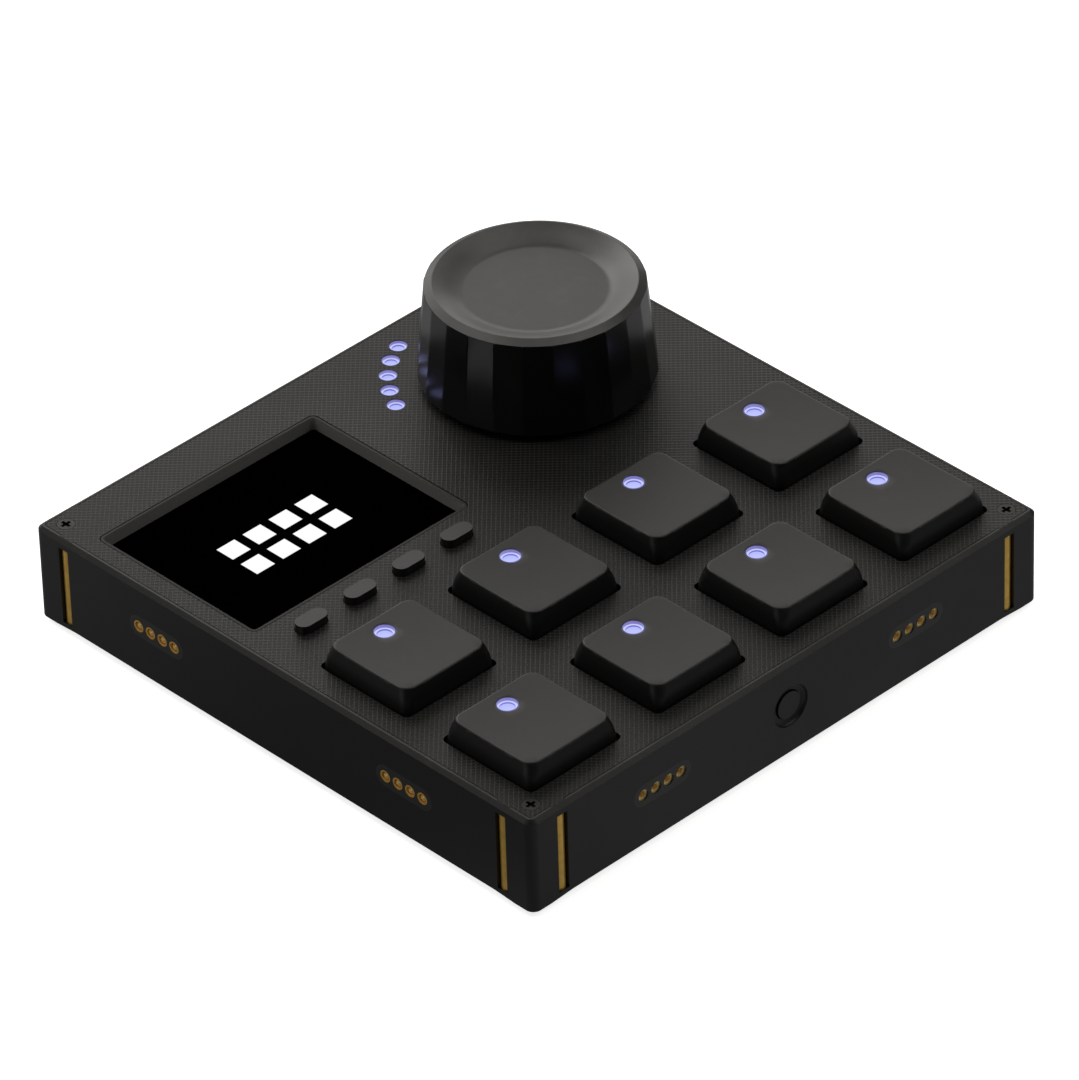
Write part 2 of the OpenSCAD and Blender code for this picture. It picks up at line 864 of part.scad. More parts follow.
socket_block_w = 12.5;
socket_block_t = 2;
tact_w = 6;
tact_d = 3.5;
tact_t = 1.6;
tact_plunger_d = 2;
tact_plunger_t = 0.25;
side_tact_l = 2;
side_tact_h = 4;
side_stop = 0.6;
side_flange = 0.7;
side_tact_gap = 0.1;
side_tact_room = 0.2;

module main_board() {
    notch_h = board_t + 2;
    color("#1f4d35")
        translate([0, 0, board_low_z])
            difference() {
                block(inner_w - 2 * board_gap, inner_d - 2 * board_gap, board_t);
                at_corners(0)
                    translate([0, 0, -1])
                        block(2 * (top_post + board_gap), 2 * (top_post + board_gap), notch_h);
                for (side = [0:3], end = [-1, 1])
                    on_side(side)
                        translate([end * (side_l(side) / 2 - contact_inset), 0, -1])
                            block(socket_block_w + 2 * seat_gap, 2 * (wall_t + socket_block_t), notch_h);
                on_side(0)
                    translate([0, 0, -1])
                        block(tact_w + 2 * side_tact_room, 2 * side_tact_back, notch_h);
                on_side(2)
                    translate([0, 0, -1])
                        block(port_w + 2 * seat_gap, 2 * (port_recess + port_l), notch_h);
                at_board_screws()
                    translate([0, 0, -1])
                        cylinder(d = m2_thread_d + 2 * seat_gap, h = notch_h);
            }
}

module board_screws() {
    color("silver")
        at_board_screws()
            translate([0, 0, board_z + board_head_t])
                screw(board_head_d, board_head_t, m2_thread_d, board_t + board_screw_l - screw_tip_gap);
}

led_w = 2;
led_t = 0.7;

module board_lights() {
    color("white") {
        at_keys()
            translate([0, window_y, board_z])
                block(led_w, led_w, led_t);
        at_lights()
            translate([0, 0, board_z])
                block(led_w, led_w, led_t);
    }
}

processor_w = 7;
chip_w = 5.5;
chip_d = 4.5;
chip_t = 1;
chip_gap = 0.7;

// The processor, display and dial drivers, and two key drivers under the board, and the cable's
// socket on top
module board_chips() {
    color("#202022") {
        translate([mid_boss_x, mid_boss_y + boss_d / 2 + chip_gap + processor_w / 2, board_low_z - chip_t])
            block(processor_w, processor_w, chip_t);
        for (place = [[screen_x, screen_y], [knob_x, knob_y],
                      [-key_pitch / 2, between_rows], [key_pitch / 2, between_rows]])
            translate([place[0], place[1], board_low_z - chip_t])
                block(chip_w, chip_d, chip_t);
        translate([screen_x + cable_reach + socket_l / 2, screen_y, board_z])
            block(socket_l, cable_w + 2 * socket_side, socket_t);
    }
}

module tact_switches() {
    color("#8a8a8c") {
        for (i = [1:menu_count])
            translate([menu_x(i), menu_row_y, board_z]) {
                block(tact_w, tact_d, tact_t);
                cylinder(d = tact_plunger_d, h = tact_t + tact_plunger_t);
            }
        on_side(0)
            translate([-tact_w / 2, side_tact_back - side_tact_l, button_z - side_tact_h / 2])
                cube([tact_w, side_tact_l, side_tact_h]);
    }
}

side_tact_back = wall_t + stop_gap + side_stop + side_travel + side_tact_gap + side_tact_l;

// Display

glass_z = top_z - glass_drop;
panel_z = glass_z - glass_t - panel_t;
glass_over = 0.35;
glass_w = screen_w + 2 * glass_over;
glass_d = screen_d + 2 * glass_over;
cable_w = 14;
cable_t = 0.12;
cable_bend = 2.4;
cable_reach = screen_w / 2 + cable_bend;
socket_l = 3;
socket_t = 1;
socket_side = 1;
panel_inset = 0.2;
gasket_inset = 2.2;
gasket_w = 3;

module display_glass() {
    color("#0a0a0c")
        translate([screen_x, screen_y, glass_z - glass_t])
            rounded_box(glass_w, glass_d, glass_t, screen_r);
}

module display_panel() {
    color("#55565a")
        translate([screen_x, screen_y, panel_z])
            block(glass_w - 2 * panel_inset, glass_d - 2 * panel_inset, panel_t);
}

module display_bezel() {
    outer_w = screen_w - 2 * bezel_gap;
    outer_d = screen_d - 2 * bezel_gap;
    color("#4a4a48")
        translate([screen_x, screen_y, glass_z])
            difference() {
                union() {
                    rounded_box(glass_w, glass_d, plate_z - glass_z, screen_r);
                    rounded_box(outer_w, outer_d, top_z - glass_z, screen_r - bezel_gap);
                }
                translate([0, 0, -1])
                    rounded_box(outer_w - 2 * bezel_wall, outer_d - 2 * bezel_wall, glass_drop + 2,
                                screen_r - bezel_gap - bezel_wall);
            }
}

module display_gasket() {
    outer_w = glass_w - 2 * gasket_inset;
    outer_d = glass_d - 2 * gasket_inset;
    color("#303032")
        translate([screen_x, screen_y, board_z])
            difference() {
                block(outer_w, outer_d, panel_z - board_z);
                translate([0, 0, -1])
                    block(outer_w - 2 * gasket_w, outer_d - 2 * gasket_w, panel_z - board_z + 2);
            }
}

// A flat cable that leaves the panel's edge, turns down and enters its socket
module display_cable() {
    start = glass_w / 2 - panel_inset;
    run_z = panel_z + panel_t / 2;
    end_z = board_z + socket_t / 2;
    color("#a8702c")
        translate([screen_x, screen_y, 0]) {
            translate([start, -cable_w / 2, run_z])
                cube([cable_reach - start, cable_w, cable_t]);
            translate([cable_reach - cable_t, -cable_w / 2, end_z])
                cube([cable_t, cable_w, run_z - end_z + cable_t]);
        }
}

// Menu buttons

pill_flange = 0.3;
pill_flange_t = 0.6;

module menu_button(i) {
    foot_z = board_z + tact_t + tact_plunger_t + pill_travel + stop_gap;
    color("#4b4a48")
        translate([menu_x(i), menu_row_y, 0]) {
            translate([0, 0, foot_z])
                linear_extrude(top_z + pill_rise - foot_z)
                    stadium(pill_w, pill_d);
            translate([0, 0, plate_z - stop_gap - pill_flange_t])
                linear_extrude(pill_flange_t)
                    stadium(pill_w + 2 * pill_flange, pill_d + 2 * pill_flange);
        }
}

// Side button

module side_button() {
    face_y = side_entry_t - side_proud;
    flange_y = wall_t + stop_gap;
    color("#3a3a38")
        on_side(0)
            translate([0, 0, button_z])
                inward() {
                    translate([0, 0, face_y])
                        cylinder(d = side_face_d, h = flange_y - face_y + side_stop);
                    translate([0, 0, flange_y])
                        cylinder(d = side_face_d + 2 * side_flange, h = side_stop);
                }
}

// Dial

facet_foot_z = top_z + knob_gap + knob_foot_r;
facet_top_z = top_z + knob_h - knob_shoulder;
cavity_r = knob_top_d / 2 * cos(180 / facets) - knob_wall;
knob_floor_z = top_z + knob_h - knob_dish;
knob_roof = 1.8;
hub_d = 10.4;
hub_gap = 1.4;
hub_z = top_z + bush_rise + hub_gap;
shaft_gap = 1.86;
shaft_top_z = knob_floor_z - knob_roof - shaft_gap;

// Quarter round from angle -90 to 0, about a centre
function foot_round(x, z, r) = [for (a = [-90:15:0]) [x + r * cos(a), z + r * sin(a)]];

module knob_profile() {
    polygon(concat(
        [[0, top_z + knob_gap]],
        foot_round(knob_d / 2 - knob_foot_r, facet_foot_z, knob_foot_r),
        [[knob_top_d / 2, facet_top_z],
         [knob_dish_d / 2, top_z + knob_h],
         [knob_floor_d / 2, knob_floor_z],
         [0, knob_floor_z]]));
}

// Planes that lean in from the foot and leave the flats
module facet_cuts() {
    inset = 0.02;
    cut_w = 8;
    cut_t = 6;
    cut_below = 3;
    flat = cos(180 / facets);
    foot_r = (knob_d / 2 - inset) * flat;
    top_r = (knob_top_d / 2 - inset) * flat;
    lean = atan2(foot_r - top_r, facet_top_z - facet_foot_z);
    for (k = [0:facets - 1])
        rotate([0, 0, facet_turn + 360 / facets * k])
            translate([foot_r, 0, facet_foot_z])
                rotate([0, -lean, 0])
                    translate([0, -cut_w / 2, -cut_below])
                        cube([cut_t, cut_w, 2 * knob_h]);
}

module d_shape(d, flat) {
    intersection() {
        circle(d = d);
        translate([flat - d, -d])
            square([d, 2 * d]);
    }
}

module knob() {
    color("#4b4a48")
        translate([knob_x, knob_y, 0])
            difference() {
                rotate_extrude($fn = 128)
                    knob_profile();
                facet_cuts();
                difference() {
                    translate([0, 0, top_z])
                        cylinder(r = cavity_r, h = knob_floor_z - knob_roof - top_z);
                    translate([0, 0, hub_z])
                        cylinder(d = hub_d, h = knob_h);
                }
                translate([0, 0, hub_z - 1])
                    linear_extrude(shaft_top_z - hub_z + 1)
                        d_shape(shaft_d, shaft_flat);
            }
}

// Encoder

rotor_room = 0.3;
encoder_floor = 0.8;
encoder_roof = 0.9;
rotor_t = 1.2;
rotor_z = plate_z - encoder_roof - stop_gap - rotor_t;
sleeve_rise = 0.3;
sleeve_top_z = top_z + bush_rise + sleeve_rise;
push_gap = 0.1;
drive_top_z = sleeve_top_z + knob_travel + push_gap;
dome_t = 0.25;

module encoder_body() {
    color("#6a6b6e")
        translate([knob_x, knob_y, 0]) {
            difference() {
                union() {
                    translate([0, 0, board_z])
                        block(encoder_w, encoder_w, plate_z - board_z);
                    translate([0, 0, board_z])
                        cylinder(d = bush_d, h = top_z + bush_rise - board_z);
                }
                translate([0, 0, board_z + encoder_floor])
                    cylinder(d = rotor_d + 2 * rotor_room,
                             h = plate_z - encoder_roof - board_z - encoder_floor);
                translate([0, 0, board_z + encoder_floor])
                    cylinder(d = sleeve_d + 2 * sleeve_gap, h = 2 * knob_h);
            }
            translate([0, 0, board_z + encoder_floor])
                cylinder(d = drive_w, h = dome_t);
        }
}

module encoder_nut() {
    color("silver")
        translate([knob_x, knob_y, top_z])
            difference() {
                linear_extrude(nut_t)
                    circle(d = nut_d, $fn = 6);
                translate([0, 0, -1])
                    cylinder(d = bush_d, h = nut_t + 2);
            }
}

module encoder_rotor() {
    color("#d8d4c8")
        translate([knob_x, knob_y, 0])
            difference() {
                union() {
                    translate([0, 0, rotor_z])
                        cylinder(d = rotor_d, h = rotor_t);
                    translate([0, 0, rotor_z])
                        cylinder(d = sleeve_d, h = sleeve_top_z - rotor_z);
                }
                translate([0, 0, rotor_z - 1])
                    block(drive_w + 2 * drive_gap, drive_w + 2 * drive_gap, knob_h);
            }
}

module encoder_shaft() {
    drive_foot_z = board_z + encoder_floor + dome_t + knob_travel + stop_gap;
    color("#b0b0b4")
        translate([knob_x, knob_y, 0]) {
            translate([0, 0, drive_foot_z])
                block(drive_w, drive_w, drive_top_z - drive_foot_z);
            translate([0, 0, drive_top_z])
                linear_extrude(shaft_top_z - drive_top_z)
                    d_shape(shaft_d, shaft_flat);
        }
}

// Status lights

collar = 0.5;
collar_t = 0.5;

module arc_lenses() {
    color("#b4b4ff")
        at_lights() {
            difference() {
                translate([0, 0, plate_z - collar_t])
                    cylinder(d = light_d, h = plate_t - lens_rim_gap + collar_t);
                lens_steps(light_d, top_z - light_recess);
            }
            translate([0, 0, plate_z - collar_t])
                cylinder(d = light_d + 2 * collar, h = collar_t);
        }
}

// Magnets, with rounded fronts that rest on the edges of their windows

module bar_magnets() {
    window_gap = 0.02;
    reach = skin_t + window_gap - magnet_recess;
    front_r = (pow(slot_w / 2, 2) + pow(reach, 2)) / (2 * reach);
    color("#c8a24a")
        for (side = [0:3])
            at_magnets(side)
                translate([0, magnet_recess, pocket_z])
                    linear_extrude(plate_z - pocket_z - seat_gap)
                        intersection() {
                            translate([-magnet_w / 2, 0])
                                square([magnet_w, magnet_t]);
                            translate([0, front_r]) {
                                circle(front_r);
                                translate([-front_r, 0])
                                    square([2 * front_r, magnet_t]);
                            }
                        }
}

// Side contacts: sockets at the front and right, sprung pins at the back and left

sleeve_l = 3.8;
pin_l = 2.2;
cup_d = 1.1;
cup_t = 0.6;

module at_contact_row() {
    for (i = [0:contact_count - 1])
        translate([(i - (contact_count - 1) / 2) * contact_pitch, 0, 0])
            children();
}

module connector_bodies() {
    color("#3a3a3a")
        for (side = [0:3])
            at_contacts(side)
                inward()
                    difference() {
                        union() {
                            linear_extrude(wall_t + socket_block_t)
                                stadium(connector_w, connector_h);
                            translate([0, 0, wall_t])
                                block(socket_block_w, connector_h, socket_block_t);
                        }
                        at_contact_row()
                            translate([0, 0, -1])
                                cylinder(d = contact_d, h = sleeve_l + 1);
                    }
}

module contact_sleeves() {
    color("#d4aa50")
        for (side = [0:3])
            at_contacts(side)
                inward()
                    at_contact_row()
                        if (side < 2)
                            difference() {
                                translate([0, 0, cup_recess])
                                    cylinder(d = contact_d, h = sleeve_l - cup_recess);
                                translate([0, 0, -1])
                                    cylinder(d = cup_d, h = 1 + cup_recess + cup_t);
                            }
                        else
                            difference() {
                                cylinder(d = contact_d, h = sleeve_l);
                                translate([0, 0, -1])
                                    cylinder(d = pin_d + 2 * pin_gap,
                                             h = 1 + pin_l + pin_travel + stop_gap);
                            }
}

// The sprung pins of one side
module side_pins(side) {
    color("#e0b95c")
        at_contacts(side)
            inward()
                at_contact_row() {
                    translate([0, 0, pin_d / 2])
                        cylinder(d = pin_d, h = pin_l - pin_d / 2);
                    translate([0, 0, pin_d / 2])
                        sphere(d = pin_d);
                }
}

module left_pins() {
    side_pins(3);
}

module back_pins() {
    side_pins(2);
}

module usb_port() {
    tongue_w = 6.7;
    tongue_t = 0.7;
    tongue_recess = 1;
    tongue_root = 0.5;
    color("#a8a8ac")
        on_side(2)
            translate([0, port_recess, board_mid_z])
                inward() {
                    difference() {
                        linear_extrude(port_l)
                            stadium(port_w, port_h);
                        translate([0, 0, -1])
                            linear_extrude(port_l)
                                stadium(port_w - 2 * port_wall, port_h - 2 * port_wall);
                    }
                    translate([-tongue_w / 2, -tongue_t / 2, tongue_recess])
                        cube([tongue_w, tongue_t, port_l - tongue_recess - tongue_root]);
                }
}

module keypad_key(i) {
    translate([key_x(i), key_y(i), 0])
        children();
}

for (i = [1:8]) {
    keypad_key(i) keycap();
    keypad_key(i) key_lens();
    keypad_key(i) key_stem();
}
for (i = [1:4])
    menu_button(i);
switch_bases();
switch_tops();
key_springs();
case_frame();
top_plate();
bottom_cover();
top_screws();
bottom_screws();
rubber_feet();
main_board();
board_chips();
board_lights();
board_screws();
arc_lenses();
display_panel();
display_glass();
display_bezel();
display_gasket();
display_cable();
tact_switches();
knob();
encoder_body();
encoder_nut();
encoder_rotor();
encoder_shaft();
side_button();
bar_magnets();
connector_bodies();
contact_sleeves();
left_pins();
back_pins();
usb_port();
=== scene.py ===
import math

import bmesh
import bpy
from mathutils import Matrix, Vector


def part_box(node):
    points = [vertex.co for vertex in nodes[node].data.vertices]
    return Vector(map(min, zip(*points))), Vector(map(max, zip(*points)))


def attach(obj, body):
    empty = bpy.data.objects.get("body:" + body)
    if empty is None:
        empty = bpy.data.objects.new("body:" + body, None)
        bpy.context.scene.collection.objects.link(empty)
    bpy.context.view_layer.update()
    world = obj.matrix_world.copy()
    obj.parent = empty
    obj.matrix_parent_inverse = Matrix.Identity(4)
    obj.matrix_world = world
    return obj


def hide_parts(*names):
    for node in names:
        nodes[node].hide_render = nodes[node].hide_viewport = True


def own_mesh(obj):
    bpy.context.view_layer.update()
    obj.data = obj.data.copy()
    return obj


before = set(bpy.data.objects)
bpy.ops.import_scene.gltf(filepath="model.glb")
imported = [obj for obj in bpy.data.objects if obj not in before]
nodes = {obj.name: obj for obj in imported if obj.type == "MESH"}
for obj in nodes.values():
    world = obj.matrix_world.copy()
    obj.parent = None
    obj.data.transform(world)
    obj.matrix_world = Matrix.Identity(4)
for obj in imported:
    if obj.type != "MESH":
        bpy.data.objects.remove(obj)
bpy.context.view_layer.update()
mm = 0.001


# Camera

camera = {
    "place": (-0.714287, -0.756451, 0.767555),
    "turn": (54.0063, 1.4854, -44.4611),  # degrees
    "lens": 304.0,
    "sensor": 36,
    "near": 0.05,
    "far": 20,
}


def makeCamera():
    data = bpy.data.cameras.new("camera")
    data.lens = camera["lens"]
    data.sensor_width = camera["sensor"]
    data.clip_start = camera["near"]
    data.clip_end = camera["far"]
    eye = bpy.data.objects.new("camera", data)
    eye.location = camera["place"]
    eye.rotation_euler = [math.radians(a) for a in camera["turn"]]
    bpy.context.scene.collection.objects.link(eye)
    bpy.context.scene.camera = eye


makeCamera()
print("camera placed")


# Shader helpers

def addNode(tree, kind, **settings):
    node = tree.nodes.new("ShaderNode" + kind)
    for name, value in settings.items():
        setattr(node, name, value)
    return node


def link(tree, source, target):
    tree.links.new(source, target)


def newGroup(name, inputs, outputs):
    # a node group of plain values: inputs with their first values, and outputs by name
    tree = bpy.data.node_groups.new(name, "ShaderNodeTree")
    for label, value in inputs.items():
        socket = tree.interface.new_socket(label, in_out="INPUT", socket_type="NodeSocketFloat")
        socket.default_value = value
    for label in outputs:
        tree.interface.new_socket(label, in_out="OUTPUT", socket_type="NodeSocketFloat")
    return tree, tree.nodes.new("NodeGroupInput"), tree.nodes.new("NodeGroupOutput")


def feed(tree, value, target):
    # a plain number or colour is set on the socket, and an output is linked to it
    if isinstance(value, (int, float, list, tuple)):
        target.default_value = value
    else:
        link(tree, value, target)


def objectPlace(tree):
    return addNode(tree, "TexCoord").outputs["Object"]


def placeParts(tree):
    # the X, Y and Z of a point of the object
    parts = addNode(tree, "SeparateXYZ")
    link(tree, objectPlace(tree), parts.inputs[0])
    return parts.outputs


def lookingUp(tree):
    # 1 on a face that looks up, 0 on an upright one, -1 on one that looks down
    parts = addNode(tree, "SeparateXYZ")
    link(tree, addNode(tree, "NewGeometry").outputs["Normal"], parts.inputs[0])
    return parts.outputs["Z"]


def mathNode(tree, operation, *values):
    node = addNode(tree, "Math", operation=operation)
    for slot, value in enumerate(values):
        feed(tree, value, node.inputs[slot])
    return node.outputs[0]


def noiseNode(tree, vector, scale, detail=3, roughness=0.55):
    node = addNode(tree, "TexNoise")
    node.inputs["Detail"].default_value = detail
    node.inputs["Roughness"].default_value = roughness
    feed(tree, scale, node.inputs["Scale"])
    link(tree, vector, node.inputs["Vector"])
    return node.outputs["Fac"]


def rangeNode(tree, value, low, high, toLow=0.0, toHigh=1.0):
    node = addNode(tree, "MapRange", interpolation_type="SMOOTHSTEP")
    for label, number in (("From Min", low), ("From Max", high), ("To Min", toLow), ("To Max", toHigh)):
        feed(tree, number, node.inputs[label])
    link(tree, value, node.inputs["Value"])
    return node.outputs["Result"]


# Shared effects

def makeMouldGrain():
    # fine pebbled skin of moulded or coated parts, with slow patches of sheen
    tree, given, result = newGroup(
        "mouldGrain", {"Scale": 5200.0, "Patch Scale": 70.0}, ("Height", "Sheen"))
    place = objectPlace(tree)
    fine = noiseNode(tree, place, given.outputs["Scale"], 2)
    coarse = noiseNode(tree, place, mathNode(tree, "MULTIPLY", given.outputs["Scale"], 0.31), 2)
    height = mathNode(tree, "MULTIPLY_ADD", coarse, 0.6, mathNode(tree, "MULTIPLY", fine, 0.4))
    patch = noiseNode(tree, place, given.outputs["Patch Scale"], 4)
    link(tree, height, result.inputs["Height"])
    link(tree, rangeNode(tree, patch, 0.3, 0.7), result.inputs["Sheen"])
    return tree


def makeEdgeWearAndHighlight():
    # where an edge is sharp, broken up by noise: rubbed wear, and on the caps a painted highlight line
    tree, given, result = newGroup("edgeWearAndHighlight", {"Width": 0.25 * mm, "Break Up": 900.0}, ("Mask",))
    place = objectPlace(tree)
    bevel = addNode(tree, "Bevel", samples=4)
    link(tree, given.outputs["Width"], bevel.inputs["Radius"])
    plain = addNode(tree, "NewGeometry").outputs["Normal"]
    turn = addNode(tree, "VectorMath", operation="DOT_PRODUCT")
    link(tree, bevel.outputs["Normal"], turn.inputs[0])
    link(tree, plain, turn.inputs[1])
    edge = rangeNode(tree, turn.outputs["Value"], 0.995, 0.93)
    scuff = rangeNode(tree, noiseNode(tree, place, given.outputs["Break Up"], 3), 0.35, 0.65, 0.35, 1.0)
    link(tree, mathNode(tree, "MULTIPLY", edge, scuff), result.inputs["Mask"])
    return tree


def makeDust():
    # thin dust on faces that look up
    tree, given, result = newGroup("dust", {"Scale": 260.0, "Amount": 0.15}, ("Mask",))
    facing = rangeNode(tree, lookingUp(tree), 0.5, 1.0)
    specks = noiseNode(tree, objectPlace(tree), given.outputs["Scale"], 5, 0.7)
    flecks = rangeNode(tree, specks, 0.45, 0.8)
    mask = mathNode(tree, "MULTIPLY", facing, flecks)
    link(tree, mathNode(tree, "MULTIPLY", mask, given.outputs["Amount"]), result.inputs["Mask"])
    return tree


def makeWeave():
    # diagonal open weave: two families of fine ribs that cross
    tree, given, result = newGroup(
        "weave", {"Pitch": 0.65 * mm, "Start": 0.3, "End": 0.47, "Under": 0.55}, ("Height", "Lines"))
    place = placeParts(tree)
    period = mathNode(tree, "MULTIPLY", given.outputs["Pitch"], math.sqrt(2))
    ribs = []
    for operation in ("ADD", "SUBTRACT"):
        along = mathNode(tree, operation, place["X"], place["Y"])
        turns = mathNode(tree, "DIVIDE", along, period)
        saw = mathNode(tree, "PINGPONG", turns, 0.5)
        ribs.append(rangeNode(tree, saw, given.outputs["Start"], given.outputs["End"]))
    under = mathNode(tree, "MULTIPLY", ribs[1], given.outputs["Under"])
    link(tree, mathNode(tree, "MAXIMUM", ribs[0], under), result.inputs["Height"])
    link(tree, mathNode(tree, "MAXIMUM", ribs[0], ribs[1]), result.inputs["Lines"])
    return tree


def makeBrushing():
    # fine drawn lines on bare metal
    tree, given, result = newGroup(
        "brushing", {"Scale": 900.0, "Stretch": 0.04}, ("Height", "Mask"))
    place = objectPlace(tree)
    squeeze = addNode(tree, "CombineXYZ")
    link(tree, given.outputs["Stretch"], squeeze.inputs["X"])
    squeeze.inputs["Y"].default_value = 1
    squeeze.inputs["Z"].default_value = 1
    long = addNode(tree, "VectorMath", operation="MULTIPLY")
    link(tree, place, long.inputs[0])
    link(tree, squeeze.outputs[0], long.inputs[1])
    lines = noiseNode(tree, long.outputs[0], mathNode(tree, "MULTIPLY", given.outputs["Scale"], 6), 3)
    spots = noiseNode(tree, place, given.outputs["Scale"], 4)
    link(tree, lines, result.inputs["Height"])
    link(tree, rangeNode(tree, spots, 0.35, 0.65), result.inputs["Mask"])
    return tree


effects = {
    "grain": makeMouldGrain(),
    "wearAndHighlight": makeEdgeWearAndHighlight(),
    "dust": makeDust(),
    "weave": makeWeave(),
    "brushing": makeBrushing(),
}
print("effects built")


# Materials

def useEffect(tree, name, values):
    node = addNode(tree, "Group", node_tree=effects[name])
    for label, value in values.items():
        node.inputs[label].default_value = value
    return node


def scaled(colour, factor, lift=0.0):
    return [min(1, c * factor + lift) for c in colour[:3]] + [1]


def newMaterial(name, roughness, metallic=0.0, shine=0.4):
    material = bpy.data.materials.new(name)
    material.use_nodes = True
    tree = material.node_tree
    shader = tree.nodes["Principled BSDF"]
    shader.inputs["Roughness"].default_value = roughness
    shader.inputs["Metallic"].default_value = metallic
    shader.inputs["Specular IOR Level"].default_value = shine
    return material, tree, shader


def mixColour(tree, mask, first, second):
    node = addNode(tree, "Mix", data_type="RGBA")
    for slot, value in (("Factor_Float", mask), ("A_Color", first), ("B_Color", second)):
        feed(tree, value, next(s for s in node.inputs if s.identifier == slot))
    return next(s for s in node.outputs if s.identifier == "Result_Color")


def addBump(tree, shader, height, distance, strength):
    bump = addNode(tree, "Bump")
    bump.inputs["Strength"].default_value = strength
    bump.inputs["Distance"].default_value = distance
    link(tree, height, bump.inputs["Height"])
    link(tree, bump.outputs["Normal"], shader.inputs["Normal"])


plainCoat = {
    "metal": 0.0, "shine": 0.4, "spread": 1.25, "roughSpread": 0.06,
    "grain": 5200.0, "patch": 70.0, "bump": 0.012 * mm, "bumpStrength": 0.5,
    "edge": 0.25 * mm, "edgeShare": 0.5, "dust": 0.1, "dustRough": 0.4, "dustColour": [0.22, 0.21, 0.2, 1],
}


def coated(name, ownLook):
    # moulded plastic, paint or satin coat: grain, patches of sheen, lighter edges and dust; the caps' far
    # lighter edges are a painted highlight over rubbed wear
    look = {**plainCoat, **ownLook}
    material, tree, shader = newMaterial(name, look["rough"], look["metal"], look["shine"])
    grain = useEffect(tree, "grain", {"Scale": look["grain"], "Patch Scale": look["patch"]})
    wearAndHighlight = useEffect(tree, "wearAndHighlight", {"Width": look["edge"]})
    dust = useEffect(tree, "dust", {"Amount": look["dust"]})
    base = look["colour"]
    colour = mixColour(tree, grain.outputs["Sheen"], base, scaled(base, look["spread"]))
    if "wall" in look:  # upright faces get a much lighter colour: a painted highlight on the walls
        upright = rangeNode(tree, mathNode(tree, "ABSOLUTE", lookingUp(tree)), 0.6, 0.2)
        colour = mixColour(tree, upright, colour, look["wall"])
    # lighter edges: rubbed wear, and where the edge colour is far lighter than the body, as on the caps, a
    # painted highlight line
    edgeShare = mathNode(tree, "MULTIPLY", wearAndHighlight.outputs["Mask"], look["edgeShare"])
    colour = mixColour(tree, edgeShare, colour, look.get("edgeColour", scaled(base, 3, 0.01)))
    colour = mixColour(tree, dust.outputs["Mask"], colour, look["dustColour"])
    link(tree, colour, shader.inputs["Base Color"])
    span = look["roughSpread"]
    rough = mathNode(tree, "MULTIPLY_ADD", grain.outputs["Sheen"], span, look["rough"] - span / 2)
    dusty = mathNode(tree, "MULTIPLY", dust.outputs["Mask"], look["dustRough"])
    link(tree, mathNode(tree, "ADD", rough, dusty), shader.inputs["Roughness"])
    addBump(tree, shader, grain.outputs["Height"], look["bump"], look["bumpStrength"])
    return material


plainMetal = {
    "metal": 1.0, "scale": 900.0, "stretch": 0.04, "tarnish": 0.72, "roughSpread": 0.1,
    "edge": 0.2 * mm, "edgeShare": 0.6, "bump": 0.006 * mm, "bumpStrength": 0.4,
}


def bareMetal(name, ownLook):
    # drawn, turned or plated metal: fine lines, tarnish in spots and brighter edges
    look = {**plainMetal, **ownLook}
    material, tree, shader = newMaterial(name, look["rough"], look["metal"])
    brushing = useEffect(tree, "brushing", {"Scale": look["scale"], "Stretch": look["stretch"]})
    wearAndHighlight = useEffect(tree, "wearAndHighlight", {"Width": look["edge"]})
    base = look["colour"]
    colour = mixColour(tree, brushing.outputs["Mask"], base, scaled(base, look["tarnish"]))
    edgeShare = mathNode(tree, "MULTIPLY", wearAndHighlight.outputs["Mask"], look["edgeShare"])
    colour = mixColour(tree, edgeShare, colour, scaled(base, 1.25, 0.03))
    if "socket" in look:  # a darker gold on the sleeves at the left and the back: painted shade around the pins
        place = placeParts(tree)
        left = mathNode(tree, "LESS_THAN", place["X"], -look["reach"])
        back = mathNode(tree, "GREATER_THAN", place["Y"], look["reach"])
        colour = mixColour(tree, mathNode(tree, "MAXIMUM", left, back), colour, look["socket"])
    link(tree, colour, shader.inputs["Base Color"])
    span = look["roughSpread"]
    rough = mathNode(tree, "MULTIPLY_ADD", brushing.outputs["Mask"], span, look["rough"] - span / 2)
    link(tree, rough, shader.inputs["Roughness"])
    addBump(tree, shader, brushing.outputs["Height"], look["bump"], look["bumpStrength"])
    return material


